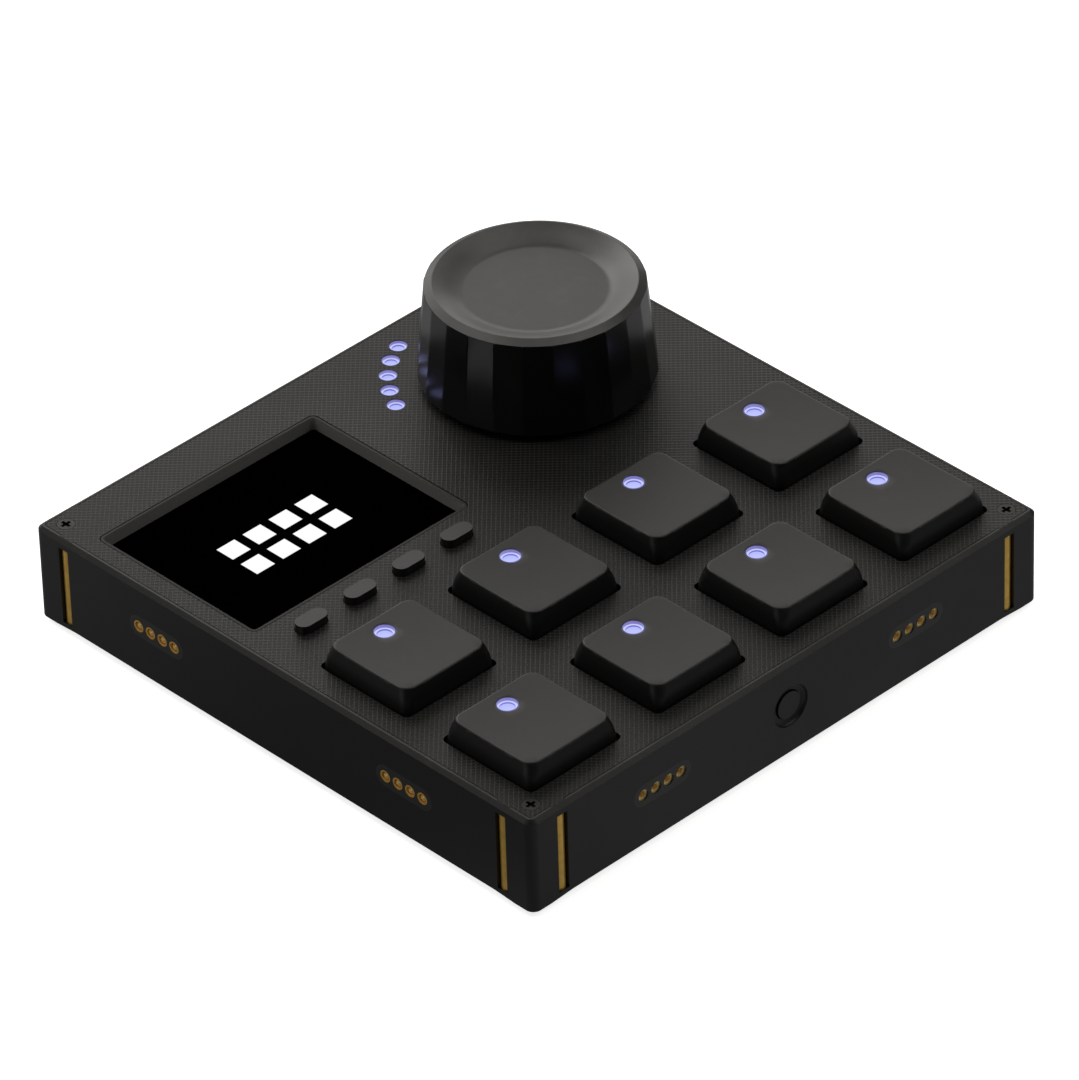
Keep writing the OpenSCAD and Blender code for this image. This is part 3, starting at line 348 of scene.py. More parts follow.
def plateMaterial(look):
    # satin coat over a diagonal weave, plain on the faces that don't look up; the ribs' lighter colour is
    # the weave's pattern and also a painted highlight along the ribs
    material, tree, shader = newMaterial("plateCoat", look["rough"], shine=look["shine"])
    weave = useEffect(tree, "weave", {"Pitch": look["pitch"]})
    grain = useEffect(tree, "grain", {"Scale": look["grain"], "Patch Scale": look["patch"]})
    dust = useEffect(tree, "dust", {"Amount": look["dust"]})
    wearAndHighlight = useEffect(tree, "wearAndHighlight", {"Width": look["edge"]})
    topFace = rangeNode(tree, lookingUp(tree), 0.9, 0.99)
    lines = mathNode(tree, "MULTIPLY", weave.outputs["Lines"], topFace)
    uneven = mathNode(tree, "MULTIPLY_ADD", grain.outputs["Sheen"], 0.5, 0.5)
    lines = mathNode(tree, "MULTIPLY", lines, uneven)
    # the ribs' lighter colour: the weave's pattern plus a painted highlight along the ribs
    colour = mixColour(tree, lines, look["valley"], look["rib"])
    edgeShare = mathNode(tree, "MULTIPLY", wearAndHighlight.outputs["Mask"], look["edgeShare"])
    colour = mixColour(tree, edgeShare, colour, look["edgeColour"])
    colour = mixColour(tree, dust.outputs["Mask"], colour, look["dustColour"])
    link(tree, colour, shader.inputs["Base Color"])
    rough = rangeNode(tree, lines, 0.0, 1.0, look["rough"] + 0.04, look["rough"] - 0.03)
    link(tree, rough, shader.inputs["Roughness"])
    ribs = mathNode(tree, "MULTIPLY", weave.outputs["Height"], topFace)
    height = mathNode(tree, "MULTIPLY_ADD", grain.outputs["Height"], look["grainShare"], ribs)
    addBump(tree, shader, height, look["depth"], 0.9)
    return material


def litLens(name, look):
    # clear lens over a lamp, its colour set by how deep a face lies under the rim; the dark rim at the top
    # and the darker step are painted shade, the rest is the lamp's glow
    material, tree, shader = newMaterial(name, look["rough"])
    grain = useEffect(tree, "grain", {"Scale": look["grain"], "Patch Scale": look["patch"]})
    flat = rangeNode(tree, lookingUp(tree), 0.5, 0.8)
    depth = mathNode(tree, "SUBTRACT", look["top"], placeParts(tree)["Z"])
    under = rangeNode(tree, depth, look["ledge"] * 0.3, look["ledge"] * 0.6)
    inside = rangeNode(tree, depth, look["ledge"] + 0.04 * mm, look["ledge"] + 0.08 * mm)
    # the dark rim colour at the top is painted shade around the window
    level = mixColour(tree, under, look["rim"], mixColour(tree, inside, look["ring"], look["core"]))
    # the darker step colour below the ledge is painted shadow
    wall = mixColour(tree, inside, look["wall"], look["step"])
    glow = mixColour(tree, flat, wall, level)
    faint = mathNode(tree, "MULTIPLY", grain.outputs["Sheen"], look["cloud"])
    shade = mixColour(tree, faint, glow, look["core"])
    link(tree, mixColour(tree, look["tint"], [0, 0, 0, 1], shade), shader.inputs["Base Color"])
    link(tree, shade, shader.inputs["Emission Color"])
    shader.inputs["Emission Strength"].default_value = look["power"]
    addBump(tree, shader, grain.outputs["Height"], 0.004 * mm, 0.3)
    return material


def litRow(tree, value, middle, count, look):
    # 1 on a row of lit squares, 0 in the gaps and past its ends
    away = mathNode(tree, "SUBTRACT", value, middle)
    cell = mathNode(tree, "FRACT", mathNode(tree, "DIVIDE", away, look["pitch"]))
    aside = mathNode(tree, "ABSOLUTE", mathNode(tree, "SUBTRACT", cell, 0.5))
    off = mathNode(tree, "MULTIPLY", aside, look["pitch"])
    lit = rangeNode(tree, off, look["side"] / 2 + look["soft"], look["side"] / 2 - look["soft"])
    end = look["pitch"] * count / 2
    within = mathNode(tree, "LESS_THAN", mathNode(tree, "ABSOLUTE", away), end)
    return mathNode(tree, "MULTIPLY", lit, within)


def glassMaterial(look):
    # black cover glass with faint smears, over a plain lit map of the eight keys
    material, tree, shader = newMaterial("coverGlass", look["rough"], shine=look["shine"])
    grain = useEffect(tree, "grain", {"Scale": look["grain"], "Patch Scale": look["patch"]})
    dust = useEffect(tree, "dust", {"Scale": look["dustScale"], "Amount": look["dust"]})
    colour = mixColour(tree, grain.outputs["Sheen"], look["colour"], look["tint"])
    colour = mixColour(tree, dust.outputs["Mask"], colour, look["dustColour"])
    link(tree, colour, shader.inputs["Base Color"])
    rough = mathNode(tree, "MULTIPLY_ADD", grain.outputs["Sheen"], 0.04, look["rough"])
    link(tree, rough, shader.inputs["Roughness"])
    place = placeParts(tree)
    across = litRow(tree, place["X"], look["middle"].x, look["columns"], look)
    along = litRow(tree, place["Y"], look["middle"].y, look["rows"], look)
    lit = mathNode(tree, "MULTIPLY", across, along)
    link(tree, mixColour(tree, lit, [0, 0, 0, 1], look["lit"]), shader.inputs["Emission Color"])
    shader.inputs["Emission Strength"].default_value = 1.0
    return material


def dialMaterial(look):
    # satin top, polished flats: the roughness follows how far a face looks up
    material, tree, shader = newMaterial("dialCoat", look["topRough"], shine=look["shine"])
    grain = useEffect(tree, "grain", {"Scale": look["grain"], "Patch Scale": look["patch"]})
    wearAndHighlight = useEffect(tree, "wearAndHighlight", {"Width": look["edge"]})
    dust = useEffect(tree, "dust", {"Amount": look["dust"]})
    top = rangeNode(tree, lookingUp(tree), 0.25, 0.5)
    colour = mixColour(tree, top, look["side"], look["top"])
    edgeShare = mathNode(tree, "MULTIPLY", wearAndHighlight.outputs["Mask"], look["edgeShare"])
    colour = mixColour(tree, edgeShare, colour, look["edgeColour"])
    colour = mixColour(tree, dust.outputs["Mask"], colour, look["dustColour"])
    link(tree, colour, shader.inputs["Base Color"])
    rough = rangeNode(tree, top, 0.0, 1.0, look["sideRough"], look["topRough"])
    rough = mathNode(tree, "MULTIPLY_ADD", grain.outputs["Sheen"], 0.05, rough)
    link(tree, rough, shader.inputs["Roughness"])
    grainShare = rangeNode(tree, top, 0.0, 1.0, 0.08, 1.0)
    height = mathNode(tree, "MULTIPLY", grain.outputs["Height"], grainShare)
    addBump(tree, shader, height, 0.01 * mm, 0.5)
    return material


def boardMaterial(look):
    # green solder resist over faint copper runs
    material, tree, shader = newMaterial("boardResist", look["rough"])
    cells = addNode(tree, "TexVoronoi", feature="DISTANCE_TO_EDGE", distance="MANHATTAN")
    cells.inputs["Scale"].default_value = look["cells"]
    link(tree, objectPlace(tree), cells.inputs["Vector"])
    runs = rangeNode(tree, cells.outputs["Distance"], 0.03, 0.05)
    grain = useEffect(tree, "grain", {"Scale": look["grain"]})
    colour = mixColour(tree, runs, look["run"], look["resist"])
    patches = mathNode(tree, "MULTIPLY", grain.outputs["Sheen"], 0.25)
    colour = mixColour(tree, patches, colour, look["dark"])
    link(tree, colour, shader.inputs["Base Color"])
    link(tree, rangeNode(tree, runs, 0.0, 1.0, 0.28, 0.4), shader.inputs["Roughness"])
    addBump(tree, shader, runs, 0.02 * mm, 0.6)
    return material


black = [0.0045, 0.0044, 0.0041, 1]
satinBlack = [0.006, 0.006, 0.0055, 1]
haze = [0.2, 0.19, 0.18, 1]
# rim and step colours are painted shade; ring, core and wall are the lamp's glow
lensLook = {
    "rough": 0.3, "grain": 3000.0, "patch": 400.0, "cloud": 0.15, "power": 0.85, "tint": 0.2,
    "rim": [0.01, 0.01, 0.12, 1], "ring": [0.62, 0.66, 1, 1], "core": [0.5, 0.54, 1, 1],
    "wall": [0.2, 0.18, 0.5, 1], "step": [0.14, 0.13, 0.62, 1],
}
pinLook = {"colour": [1, 0.76, 0.26, 1], "rough": 0.2, "tarnish": 0.95, "metal": 0.3}


def topOf(node):
    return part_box(node)[1].z


def middleOf(node):
    low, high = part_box(node)
    return (low + high) / 2


materials = {
    # the caps' edge colour, many times lighter than the cap, is a painted highlight line along the edges,
    # over rubbed wear
    "cap": coated("capPlastic", {
        "colour": black, "rough": 0.42, "shine": 0.42, "roughSpread": 0.02, "dust": 0.02,
        "edge": 0.35 * mm, "edgeShare": 0.8, "edgeColour": [0.09, 0.09, 0.087, 1]}),
    "button": coated("buttonPlastic", {
        "colour": black, "rough": 0.4, "shine": 0.62, "edgeShare": 0.1, "dust": 0.02}),
    "case": coated("caseCoat", {
        "colour": [0.005, 0.005, 0.0045, 1], "rough": 0.45, "shine": 0.46, "edgeShare": 0.15, "grain": 7000.0}),
    # the rib colour, far lighter than the valley's, is partly a painted highlight along the ribs
    "plate": plateMaterial({
        "rough": 0.4, "shine": 0.27, "pitch": 0.65 * mm, "depth": 0.03 * mm, "grain": 6500.0,
        "patch": 45.0, "grainShare": 0.12, "valley": [0.002, 0.002, 0.0018, 1],
        "rib": [0.03, 0.0295, 0.027, 1], "edge": 0.2 * mm, "edgeShare": 0.35,
        "edgeColour": [0.03, 0.03, 0.028, 1], "dust": 0.01, "dustColour": haze}),
    "cover": coated("coverPlastic", {
        "colour": [0.012, 0.012, 0.0115, 1], "rough": 0.55, "grain": 3600.0}),
    # the bezel's light wall colour is a painted highlight on its upright faces
    "bezel": coated("bezelCoat", {
        "colour": satinBlack, "rough": 0.5, "shine": 0.3, "edgeShare": 0.0, "dust": 0.0,
        "wall": [0.24, 0.237, 0.228, 1]}),
    "screw_dark": coated("screwCoat", {"colour": satinBlack, "rough": 0.42, "edgeShare": 0.15}),
    "screw_black": coated("screwOxide", {"colour": [0.012, 0.012, 0.012, 1], "rough": 0.35, "metal": 0.5}),
    "foot": coated("footRubber", {"colour": [0.01, 0.01, 0.01, 1], "rough": 0.75, "grain": 2600.0}),
    "side_cap": coated("sideCapPlastic", {"colour": satinBlack, "rough": 0.4, "edgeShare": 0.15}),
    "connector": coated("connectorPlastic", {"colour": [0.03, 0.03, 0.029, 1], "rough": 0.45}),
    "stem_plastic": coated("stemPlastic", {"colour": [0.72, 0.7, 0.62, 1], "rough": 0.4, "spread": 1.08}),
    "housing": coated("housingPlastic", {"colour": [0.015, 0.015, 0.017, 1], "rough": 0.45}),
    "housing_top": coated("housingTopPlastic", {"colour": [0.03, 0.03, 0.034, 1], "rough": 0.4}),
    "chip": coated("chipResin", {"colour": [0.014, 0.014, 0.015, 1], "rough": 0.5, "grain": 3000.0}),
    "rotor": coated("rotorPlastic", {"colour": [0.66, 0.64, 0.56, 1], "rough": 0.42, "spread": 1.06}),
    "tact": coated("tactPlastic", {"colour": [0.22, 0.22, 0.22, 1], "rough": 0.4}),
    "foam": coated("foamSkin", {
        "colour": [0.03, 0.03, 0.032, 1], "rough": 0.85, "grain": 1800.0, "bump": 0.08 * mm}),
    "flex": coated("flexFilm", {"colour": [0.36, 0.16, 0.045, 1], "rough": 0.3, "spread": 1.2}),
    "dial": dialMaterial({
        "top": [0.008, 0.0078, 0.0074, 1], "side": [0.004, 0.004, 0.004, 1], "topRough": 0.35,
        "sideRough": 0.2, "shine": 0.74, "grain": 6500.0, "patch": 60.0, "edge": 0.3 * mm,
        "edgeShare": 0.3, "edgeColour": [0.02, 0.02, 0.019, 1], "dust": 0.08, "dustColour": haze}),
    "glass": glassMaterial({
        "rough": 0.1, "shine": 0.0, "colour": [0.0002, 0.0002, 0.0002, 1],
        "tint": [0.0004, 0.0004, 0.0004, 1], "grain": 500.0, "patch": 55.0, "dust": 0.001,
        "dustScale": 900.0, "dustColour": [0.1, 0.1, 0.1, 1], "lit": [1, 1, 1, 1],
        "middle": middleOf("display_glass"), "pitch": 5 * mm, "side": 3.4 * mm, "soft": 0.04 * mm,
        "columns": 4, "rows": 2}),
    "led": litLens("boardLamp", {**lensLook, "top": topOf("board_lights"), "ledge": 0.4 * mm}),
    "lens": litLens("keyLens", {**lensLook, "top": topOf("key_lens_1"), "ledge": 0.49 * mm}),
    "arc_lens": litLens("arcLens", {**lensLook, "top": topOf("arc_lenses"), "ledge": 0.44 * mm}),
    "board": boardMaterial({
        "rough": 0.35, "cells": 420, "grain": 4000.0, "resist": [0.012, 0.07, 0.032, 1],
        "run": [0.03, 0.14, 0.06, 1], "dark": [0.006, 0.04, 0.02, 1]}),
    "magnet": bareMetal("magnetGold", {
        "colour": [1, 0.62, 0.13, 1], "rough": 0.22, "tarnish": 0.85, "metal": 0.55}),
    # the sleeves' darker gold at the left and the back is painted shade, the dark ring around each pin
    "contact_gold": bareMetal("contactGold", {
        "colour": [1, 0.74, 0.3, 1], "rough": 0.3, "tarnish": 0.9, "metal": 0.35,
        "socket": [0.9, 0.5, 0.1, 1], "reach": 47 * mm}),
    "pin_gold": bareMetal("pinGold", pinLook),
    "pin_gold_back": bareMetal("pinGoldBack", pinLook),
    "spring": bareMetal("springWire", {"colour": [0.6, 0.6, 0.58, 1], "rough": 0.25}),
    "screw_steel": bareMetal("screwSteel", {"colour": [0.55, 0.55, 0.53, 1], "rough": 0.3}),
    "panel": bareMetal("panelSteel", {"colour": [0.4, 0.4, 0.41, 1], "rough": 0.35, "stretch": 0.02}),
    "encoder": bareMetal("encoderCast", {"colour": [0.4, 0.4, 0.41, 1], "rough": 0.45, "stretch": 1.0}),
    "nut": bareMetal("nutPlate", {"colour": [0.6, 0.6, 0.58, 1], "rough": 0.28}),
    "shaft": bareMetal("shaftTurned", {"colour": [0.58, 0.58, 0.59, 1], "rough": 0.25}),
    "port": bareMetal("portShell", {"colour": [0.5, 0.5, 0.51, 1], "rough": 0.3}),
}
print("materials built:", len(materials))


def dressNodes():
    # each CAD node keeps its slots, and each slot gets the finish of the same name
    for node in nodes.values():
        for slot in node.material_slots:
            slot.material = materials[slot.material.name.split(".")[0]]


dressNodes()
print("nodes dressed")


# Mesh helpers

def finishMesh(name, mesh, material, sharpAngle=35):
    bmesh.ops.recalc_face_normals(mesh, faces=mesh.faces)
    limit = math.radians(sharpAngle)
    for face in mesh.faces:
        face.smooth = True
    for edge in mesh.edges:
        edge.smooth = edge.calc_face_angle(0) < limit
    data = bpy.data.meshes.new(name)
    mesh.to_mesh(data)
    mesh.free()
    data.materials.append(material)
    piece = bpy.data.objects.new(name, data)
    bpy.context.scene.collection.objects.link(piece)
    return piece


def weighted(piece):
    modifier = piece.modifiers.new("weightedNormal", "WEIGHTED_NORMAL")
    modifier.keep_sharp = True
    return piece


def loft(mesh, rings, closed):
    # joins rings of equally many points, and the last to the first where it is closed
    made = [[mesh.verts.new(p) for p in ring] for ring in rings]
    pairs = list(zip(made, made[1:]))
    if closed:
        pairs.append((made[-1], made[0]))
    for low, high in pairs:
        count = len(low)
        for i in range(count):
            j = (i + 1) % count
            mesh.faces.new((low[i], low[j], high[j], high[i]))
    return made


def squareRing(side, radius, steps):
    # a square with round corners, as (x, y) points from the right side, anticlockwise
    points = []
    for corner in range(4):
        turn = math.pi / 2 * corner
        cx = (side / 2 - radius) * (1 if corner in (0, 3) else -1)
        cy = (side / 2 - radius) * (1 if corner in (0, 1) else -1)
        for step in range(steps + 1):
            angle = turn + math.pi / 2 * step / steps
            points.append((cx + radius * math.cos(angle), cy + radius * math.sin(angle)))
    return points


def fillSides(points, sideSteps):
    # adds points along the straight sides, between one corner's end and the next one's start
    count = len(points) // 4
    filled = []
    for corner in range(4):
        part = points[corner * count:(corner + 1) * count]
        filled += part
        start = part[-1]
        end = points[(corner + 1) * count % len(points)]
        for step in range(1, sideSteps):
            share = step / sideSteps
            filled.append((start[0] + (end[0] - start[0]) * share, start[1] + (end[1] - start[1]) * share))
    return filled


# Keycaps: a soft-edged shell with a dished top and a round window

keycap = {
    "topShare": 15.4 / 17.2,
    "flare": 2.2,
    "footRadius": 1.5 * mm,
    "topRadius": 1.9 * mm,
    "edge": 0.32 * mm,
    "dish": 220 * mm,
    "leastRadius": 0.3 * mm,
    "roof": 1.5 * mm,
    "hollow": 14.8 * mm,
    "hollowRadius": 0.8 * mm,
    "rim": 0.12 * mm,
    "cornerSteps": 10,
    "sideSteps": 8,
    "wallSteps": 6,
    "edgeSteps": 5,
    "topSteps": 9,
    "rimSteps": 3,
}


def capRing(side, radius):
    return fillSides(squareRing(side, radius, keycap["cornerSteps"]), keycap["sideSteps"])


def makeKeycap(index):
    low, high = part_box("keycap_%d" % index)
    lensLow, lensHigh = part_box("key_lens_%d" % index)
    centre = middleOf("keycap_%d" % index)
    width = high.x - low.x
    tall = high.z - low.z
    topWidth = width * keycap["topShare"]
    windowY = middleOf("key_lens_%d" % index).y - centre.y
    windowR = (lensHigh.x - lensLow.x) / 2
    sphereZ = high.z + keycap["dish"] - (topWidth / math.sqrt(2)) ** 2 / (2 * keycap["dish"])

    def dishAt(x, y):
        # the top's height, on a sphere that meets the top face's corners
        return sphereZ - math.sqrt(keycap["dish"] ** 2 - x * x - y * y)

    def level(share, inset=0.0):
        # the cap's outline at a share of its height
        side = width - (width - topWidth) * share ** keycap["flare"] - 2 * inset
        radius = keycap["footRadius"] + (keycap["topRadius"] - keycap["footRadius"]) * share
        return capRing(side, max(radius - inset, keycap["leastRadius"]))

    def windowRing(radius):
        return [(radius * math.cos(a), windowY + radius * math.sin(a)) for a in angles]

    # outside: the flared wall and the rolled edge
    edge = keycap["edge"]
    wallTop = 1 - edge / tall
    rings = []
    for step in range(keycap["wallSteps"] + 1):
        share = wallTop * step / keycap["wallSteps"]
        rings.append([(x, y, low.z + share * tall) for x, y in level(share)])
    for step in range(1, keycap["edgeSteps"] + 1):
        angle = math.pi / 2 * step / keycap["edgeSteps"]
        inset = edge * (1 - math.cos(angle))
        outline = level(wallTop, inset)
        rings.append([(x, y, dishAt(x, y) - edge * (1 - math.sin(angle))) for x, y in outline])

    # the dished top, from the edge to the window's lip
    outer = level(wallTop, edge)
    angles = [math.atan2(y, x) for x, y in outer]
    lip = windowRing(windowR + keycap["rim"])
    for step in range(1, keycap["topSteps"] + 1):
        share = step / keycap["topSteps"]
        blend = [(a[0] + (b[0] - a[0]) * share, a[1] + (b[1] - a[1]) * share) for a, b in zip(outer, lip)]
        rings.append([(x, y, dishAt(x, y)) for x, y in blend])
    for step in range(1, keycap["rimSteps"] + 1):
        angle = math.pi / 2 * step / keycap["rimSteps"]
        ring = windowRing(windowR + keycap["rim"] * (1 - math.sin(angle)))
        drop = keycap["rim"] * (1 - math.cos(angle))
        rings.append([(x, y, dishAt(*above) - drop) for (x, y), above in zip(ring, lip)])

    # the window's wall, the roof's underside and the hollow
    roofZ = high.z - keycap["roof"]
    rings.append([(x, y, roofZ) for x, y in windowRing(windowR)])
    hollow = capRing(keycap["hollow"], keycap["hollowRadius"])
    rings.append([(x, y, roofZ) for x, y in hollow])
    rings.append([(x, y, low.z) for x, y in hollow])
    mesh = bmesh.new()
    loft(mesh, [[(x + centre.x, y + centre.y, z) for x, y, z in ring] for ring in rings], True)
    piece = weighted(finishMesh("keycapShell_%d" % index, mesh, materials["cap"]))
    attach(piece, "key_%d" % index)
    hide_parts("keycap_%d" % index)


keyNumbers = range(1, 9)
for key in keyNumbers:
    makeKeycap(key)
print("keycaps built")


# Springs: one coil under each key

spring = {
    "reach": 5 * mm,  # what lies nearer to a key's middle is its own coil
    "travel": 3 * mm,
    "sharp": 50,  # degrees
}


def makeSpring(key):
    centre = middleOf("key_stem_%d" % key)
    mesh = bmesh.new()
    mesh.from_mesh(nodes["key_springs"].data)
    others = [v for v in mesh.verts if (v.co - centre).xy.length > spring["reach"]]
    bmesh.ops.delete(mesh, geom=others, context="VERTS")
    piece = finishMesh("springCoil_%d" % key, mesh, materials["spring"], spring["sharp"])
    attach(piece, "body")
    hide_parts("key_springs")
    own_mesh(piece)


for key in keyNumbers:
    makeSpring(key)
print("springs built")


# Dial: polished flats, a chamfered shoulder and a dished top

dial = {
    "facets": 24,
    "turn": 1.6,  # degrees
    "facetPoints": (-1, -0.965, -0.93, -0.5, 0, 0.5, 0.93, 0.965),  # -1 and 1 are a flat's two edges
    "bluntFrom": 0.95,
    "blunt": 0.0011,  # share of the radius taken off the edge between two flats
    "inset": 0.02 * mm,
    "footRound": 0.65 * mm,
    "footSteps": 6,
    "topWidth": 32.4 / 35.2,
    "shoulder": 0.7 * mm,
    "rimWidth": 29.7 * mm,
    "floorWidth": 21.4 * mm,
    "dish": 1.64 * mm,
    "dishSteps": 8,
    "dishEase": 0.3,
    "floorRings": (0.96, 0.9, 0.75, 0.5, 0.25, 0.04),
    "wall": 1.9 * mm,
    "roof": 1.8 * mm,
    "ease": 0.09 * mm,
    "hubWidth": 10.4 * mm,
    "hubGap": 1.1 * mm,  # over the rotor's sleeve, more than the press
    "sharp": 22,  # degrees
}


def makeDial():
    low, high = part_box("knob")
    centre = middleOf("knob")
    shaftLow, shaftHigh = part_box("encoder_shaft")
    footR = max(high.x - low.x, high.y - low.y) / 2 - dial["inset"]
    topR = footR * dial["topWidth"]
    facetFoot = low.z + dial["footRound"]
    facetTop = high.z - dial["shoulder"]
    half = math.pi / dial["facets"]
    flat = math.cos(half)
    shares = dial["facetPoints"] * dial["facets"]
    angles = [math.radians(dial["turn"]) + 2 * half * k + half * s
              for k in range(dial["facets"]) for s in dial["facetPoints"]]

    def ringAt(reaches, z):
        return [(centre.x + r * math.cos(a), centre.y + r * math.sin(a), z)
                for r, a in zip(reaches, angles)]

    def facetRing(radius, z):
        # flats that meet in narrow blunt edges
        reaches = []
        for share in shares:
            most = radius * (1 - dial["blunt"]) if abs(share) > dial["bluntFrom"] else radius
            reaches.append(min(radius * flat / math.cos(half * share), most))
        return ringAt(reaches, z)

    def roundRing(radius, z):
        return ringAt([radius] * len(angles), z)

    cavityR = topR * flat - dial["wall"]
    floorZ = high.z - dial["dish"]
    ceilingZ = floorZ - dial["roof"]
    hubR = dial["hubWidth"] / 2
    boreR = (shaftHigh.x - shaftLow.x) / 2
    hubZ = topOf("encoder_rotor") + dial["hubGap"]
    rimR = dial["rimWidth"] / 2
    ease = dial["ease"]

    # outside: the foot's rounding, the shoulder, the slope and the rounded rim
    rings = [roundRing(cavityR, low.z)]
    for step in range(dial["footSteps"] + 1):
        angle = math.pi / 2 * step / dial["footSteps"]
        radius = footR - dial["footRound"] * (1 - math.sin(angle))
        rings.append(facetRing(radius, facetFoot - dial["footRound"] * math.cos(angle)))
    rings.append(facetRing(topR + ease * 0.1, facetTop - ease))
    rings.append(roundRing(topR * flat + ease * 0.4, facetTop + ease * 0.4))
    slope = (high.z - facetTop) / (topR - rimR)
    rings.append(roundRing(rimR + ease * 2, high.z - slope * ease * 2))
    rings.append(roundRing(rimR + ease * 0.6, high.z - slope * ease * 0.5))
    rings.append(roundRing(rimR - ease * 0.8, high.z - ease * 0.1))

    # the dish and its flat floor
    floorR = dial["floorWidth"] / 2
    for step in range(1, dial["dishSteps"] + 1):
        share = step / dial["dishSteps"]
        eased = share * share * (3 - 2 * share)
        drop = dial["dish"] * (share + (eased - share) * dial["dishEase"])
        rings.append(roundRing(rimR - (rimR - floorR) * share, high.z - drop))
    for share in dial["floorRings"]:
        rings.append(roundRing(floorR * share, floorZ))
    mesh = bmesh.new()
    made = loft(mesh, rings, False)
    mesh.faces.new(made[-1])

    # inside: the cavity, the hub and its bore, closed on the shaft's end
    inner = [roundRing(cavityR, ceilingZ), roundRing(hubR, ceilingZ), roundRing(hubR, hubZ),
             roundRing(boreR, hubZ), roundRing(boreR, shaftHigh.z)]
    inside = [made[0]] + [[mesh.verts.new(p) for p in ring] for ring in inner]
    for before, after in zip(inside, inside[1:]):
        for i in range(len(angles)):
            j = (i + 1) % len(angles)
            mesh.faces.new((before[j], before[i], after[i], after[j]))
    mesh.faces.new(inside[-1])
    piece = weighted(finishMesh("dialShell", mesh, materials["dial"], dial["sharp"]))
    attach(piece, "dial_push")
    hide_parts("knob")


makeDial()
print("dial built")


# Soft edges on the solids that stay, by the width of the rounding in millimetres

softEdges = {
    "case_frame": 0.06, "top_plate": 0.02, "display_bezel": 0.03, "top_screws": 0.15,
    "bottom_cover": 0.15, "rubber_feet": 0.15, "side_button": 0.1, "bar_magnets": 0.06,
    "connector_bodies": 0.05, "contact_sleeves": 0.04, "usb_port": 0.05, "bottom_screws": 0.05,
    "menu_button_1": 0.3, "menu_button_2": 0.3, "menu_button_3": 0.3, "menu_button_4": 0.3,
}
softening = {
    "weld": 0.01 * mm,
    "segments": 3,
    "sharp": 40,  # degrees
}


def softenNode(node, width):
    weld = node.modifiers.new("weld", "WELD")
    weld.merge_threshold = softening["weld"]
    bevel = node.modifiers.new("softEdge", "BEVEL")
    bevel.width = width
    bevel.segments = softening["segments"]
    bevel.limit_method = "ANGLE"
    bevel.angle_limit = math.radians(softening["sharp"])
    bevel.harden_normals = False
    weighted(node)


for name, width in softEdges.items():
    softenNode(nodes[name], width * mm)
print("edges softened")


# Studio: softboxes on a dome, given by azimuth, elevation, width, height and radiance

studio = {
    "distance": 1.6,
    "warmth": (1.0, 0.98, 0.94),
    "ambient": 0.02,
    "floorSize": 6.0,
    "floorPaper": [0.92, 0.92, 0.92, 1],
    "floorLift": 0.8,
    "floorLeft": 0.12,
    "floorRight": 0.29,
    "floorTurn": 40 * mm,  # how far from the middle the left's glow gives way to the right's
    "floorBack": 0.14,
    "floorRise": 80 * mm,  # how far back the back's glow is full
}
softboxes = {
    "backLow": (60, 14, 2.4, 0.68, 1.55),
    "backHigh": (75, 39, 0.68, 0.68, 3.3),
    "backRight": (32, 39, 1.3, 0.68, 0.9),
    "backLeft": (122, 39, 1.3, 0.68, 1.0),
    "leftLow": (180, 14, 0.82, 0.68, 0.8),
    "frontRight": (315, 39, 0.68, 0.68, 1.7),
    "rightHigh": (0, 64, 0.78, 0.66, 1.4),
    "leftHigh": (120, 64, 0.78, 0.66, 2.0),
    "frontHigh": (300, 64, 0.78, 0.66, 0.95),
    "top": (0, 90, 0.7, 0.7, 1.2),
}


def makeSoftbox(name, azimuth, elevation, width, height, radiance):
    data = bpy.data.lights.new(name, "AREA")
    data.shape = "RECTANGLE"
    data.size = width
    data.size_y = height
    data.color = studio["warmth"]
    data.energy = radiance * math.pi * width * height
    turn, lean = math.radians(azimuth), math.radians(elevation)
    away = Vector((math.cos(lean) * math.cos(turn), math.cos(lean) * math.sin(turn), math.sin(lean)))
    lamp = bpy.data.objects.new(name, data)
    lamp.location = away * studio["distance"]
    lamp.rotation_euler = (-away).to_track_quat("-Z", "Y").to_euler()
    bpy.context.scene.collection.objects.link(lamp)


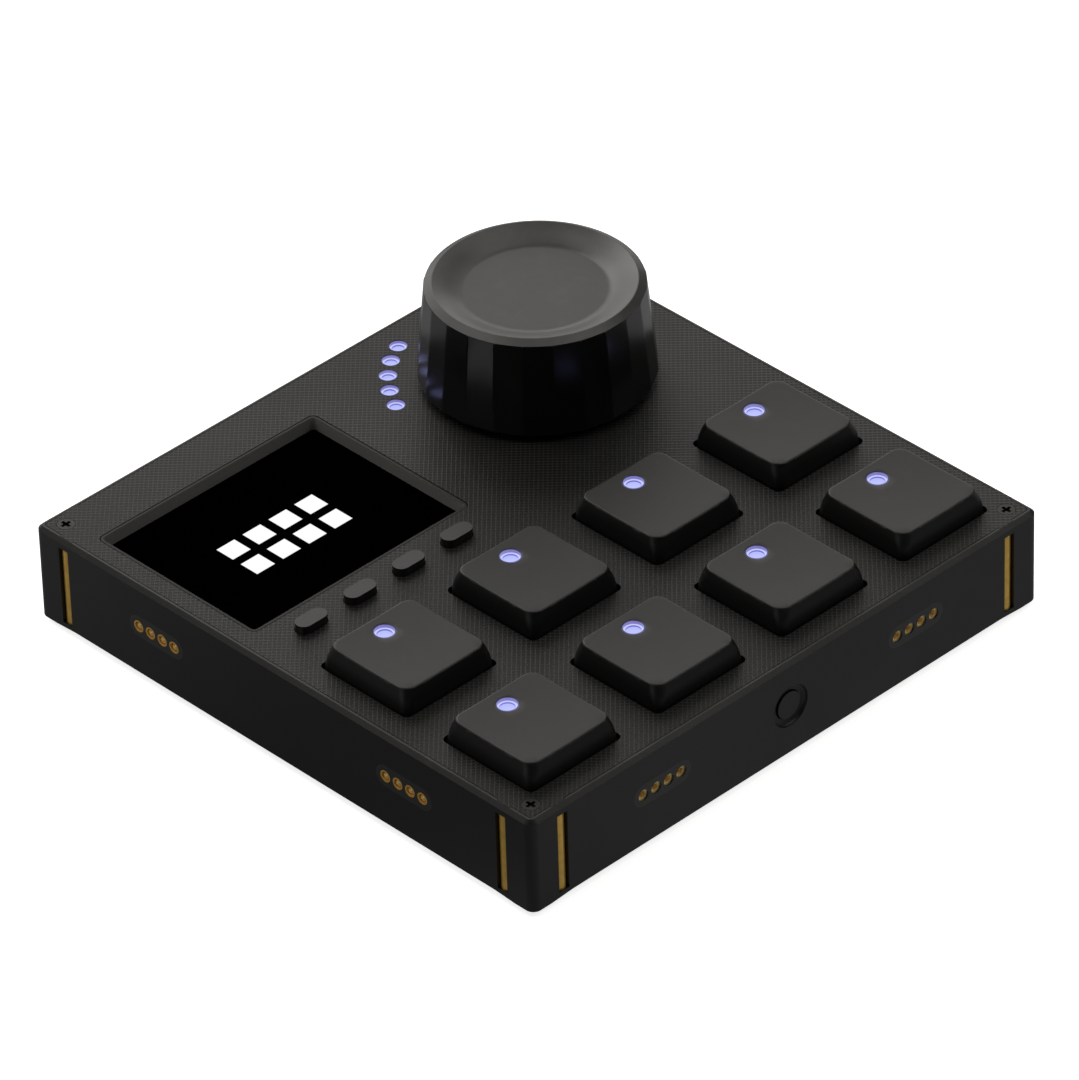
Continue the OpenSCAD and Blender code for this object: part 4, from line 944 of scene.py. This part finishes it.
def makeFloor():
    # white paper to the camera, and to the object a dark sheet with a faint glow at the right and back
    mesh = bmesh.new()
    bmesh.ops.create_grid(mesh, x_segments=2, y_segments=2, size=studio["floorSize"] / 2)
    material, tree, shader = newMaterial("floorPaper", 0.9)
    tree.nodes.remove(shader)
    out = tree.nodes["Material Output"]
    seen = addNode(tree, "LightPath").outputs["Is Camera Ray"]
    paper = addNode(tree, "BsdfDiffuse")
    link(tree, mixColour(tree, seen, [0, 0, 0, 1], studio["floorPaper"]), paper.inputs["Color"])
    place = placeParts(tree)
    across = mathNode(tree, "SUBTRACT", place["X"], place["Y"])
    turn = studio["floorTurn"]
    side = rangeNode(tree, across, -turn, turn, studio["floorLeft"], studio["floorRight"])
    back = rangeNode(tree, place["Y"], 0.0, studio["floorRise"], 0.0, studio["floorBack"])
    glow = mathNode(tree, "ADD", side, back)
    unseen = mathNode(tree, "MULTIPLY", mathNode(tree, "SUBTRACT", 1, seen), glow)
    lift = addNode(tree, "Emission")
    strength = mathNode(tree, "MULTIPLY_ADD", seen, studio["floorLift"], unseen)
    link(tree, strength, lift.inputs["Strength"])
    both = addNode(tree, "AddShader")
    link(tree, paper.outputs[0], both.inputs[0])
    link(tree, lift.outputs[0], both.inputs[1])
    clear = addNode(tree, "BsdfTransparent")
    sides = addNode(tree, "MixShader")  # see-through from below
    link(tree, addNode(tree, "NewGeometry").outputs["Backfacing"], sides.inputs[0])
    link(tree, both.outputs[0], sides.inputs[1])
    link(tree, clear.outputs[0], sides.inputs[2])
    link(tree, sides.outputs[0], out.inputs["Surface"])
    floor = finishMesh("floorSheet", mesh, material)
    if floor.data.polygons[0].normal.z < 0:
        floor.data.flip_normals()


def makeWorld():
    world = bpy.data.worlds.new("studio")
    world.use_nodes = True
    tree = world.node_tree
    back = tree.nodes["Background"]
    seen = addNode(tree, "LightPath").outputs["Is Camera Ray"]
    strength = rangeNode(tree, seen, 0.0, 1.0, studio["ambient"], 1.0)
    link(tree, strength, back.inputs["Strength"])
    back.inputs["Color"].default_value = (1, 1, 1, 1)
    bpy.context.scene.world = world


for name, look in softboxes.items():
    makeSoftbox(name, *look)
makeFloor()
makeWorld()
bpy.context.scene.view_settings.view_transform = "Standard"
print("studio built")
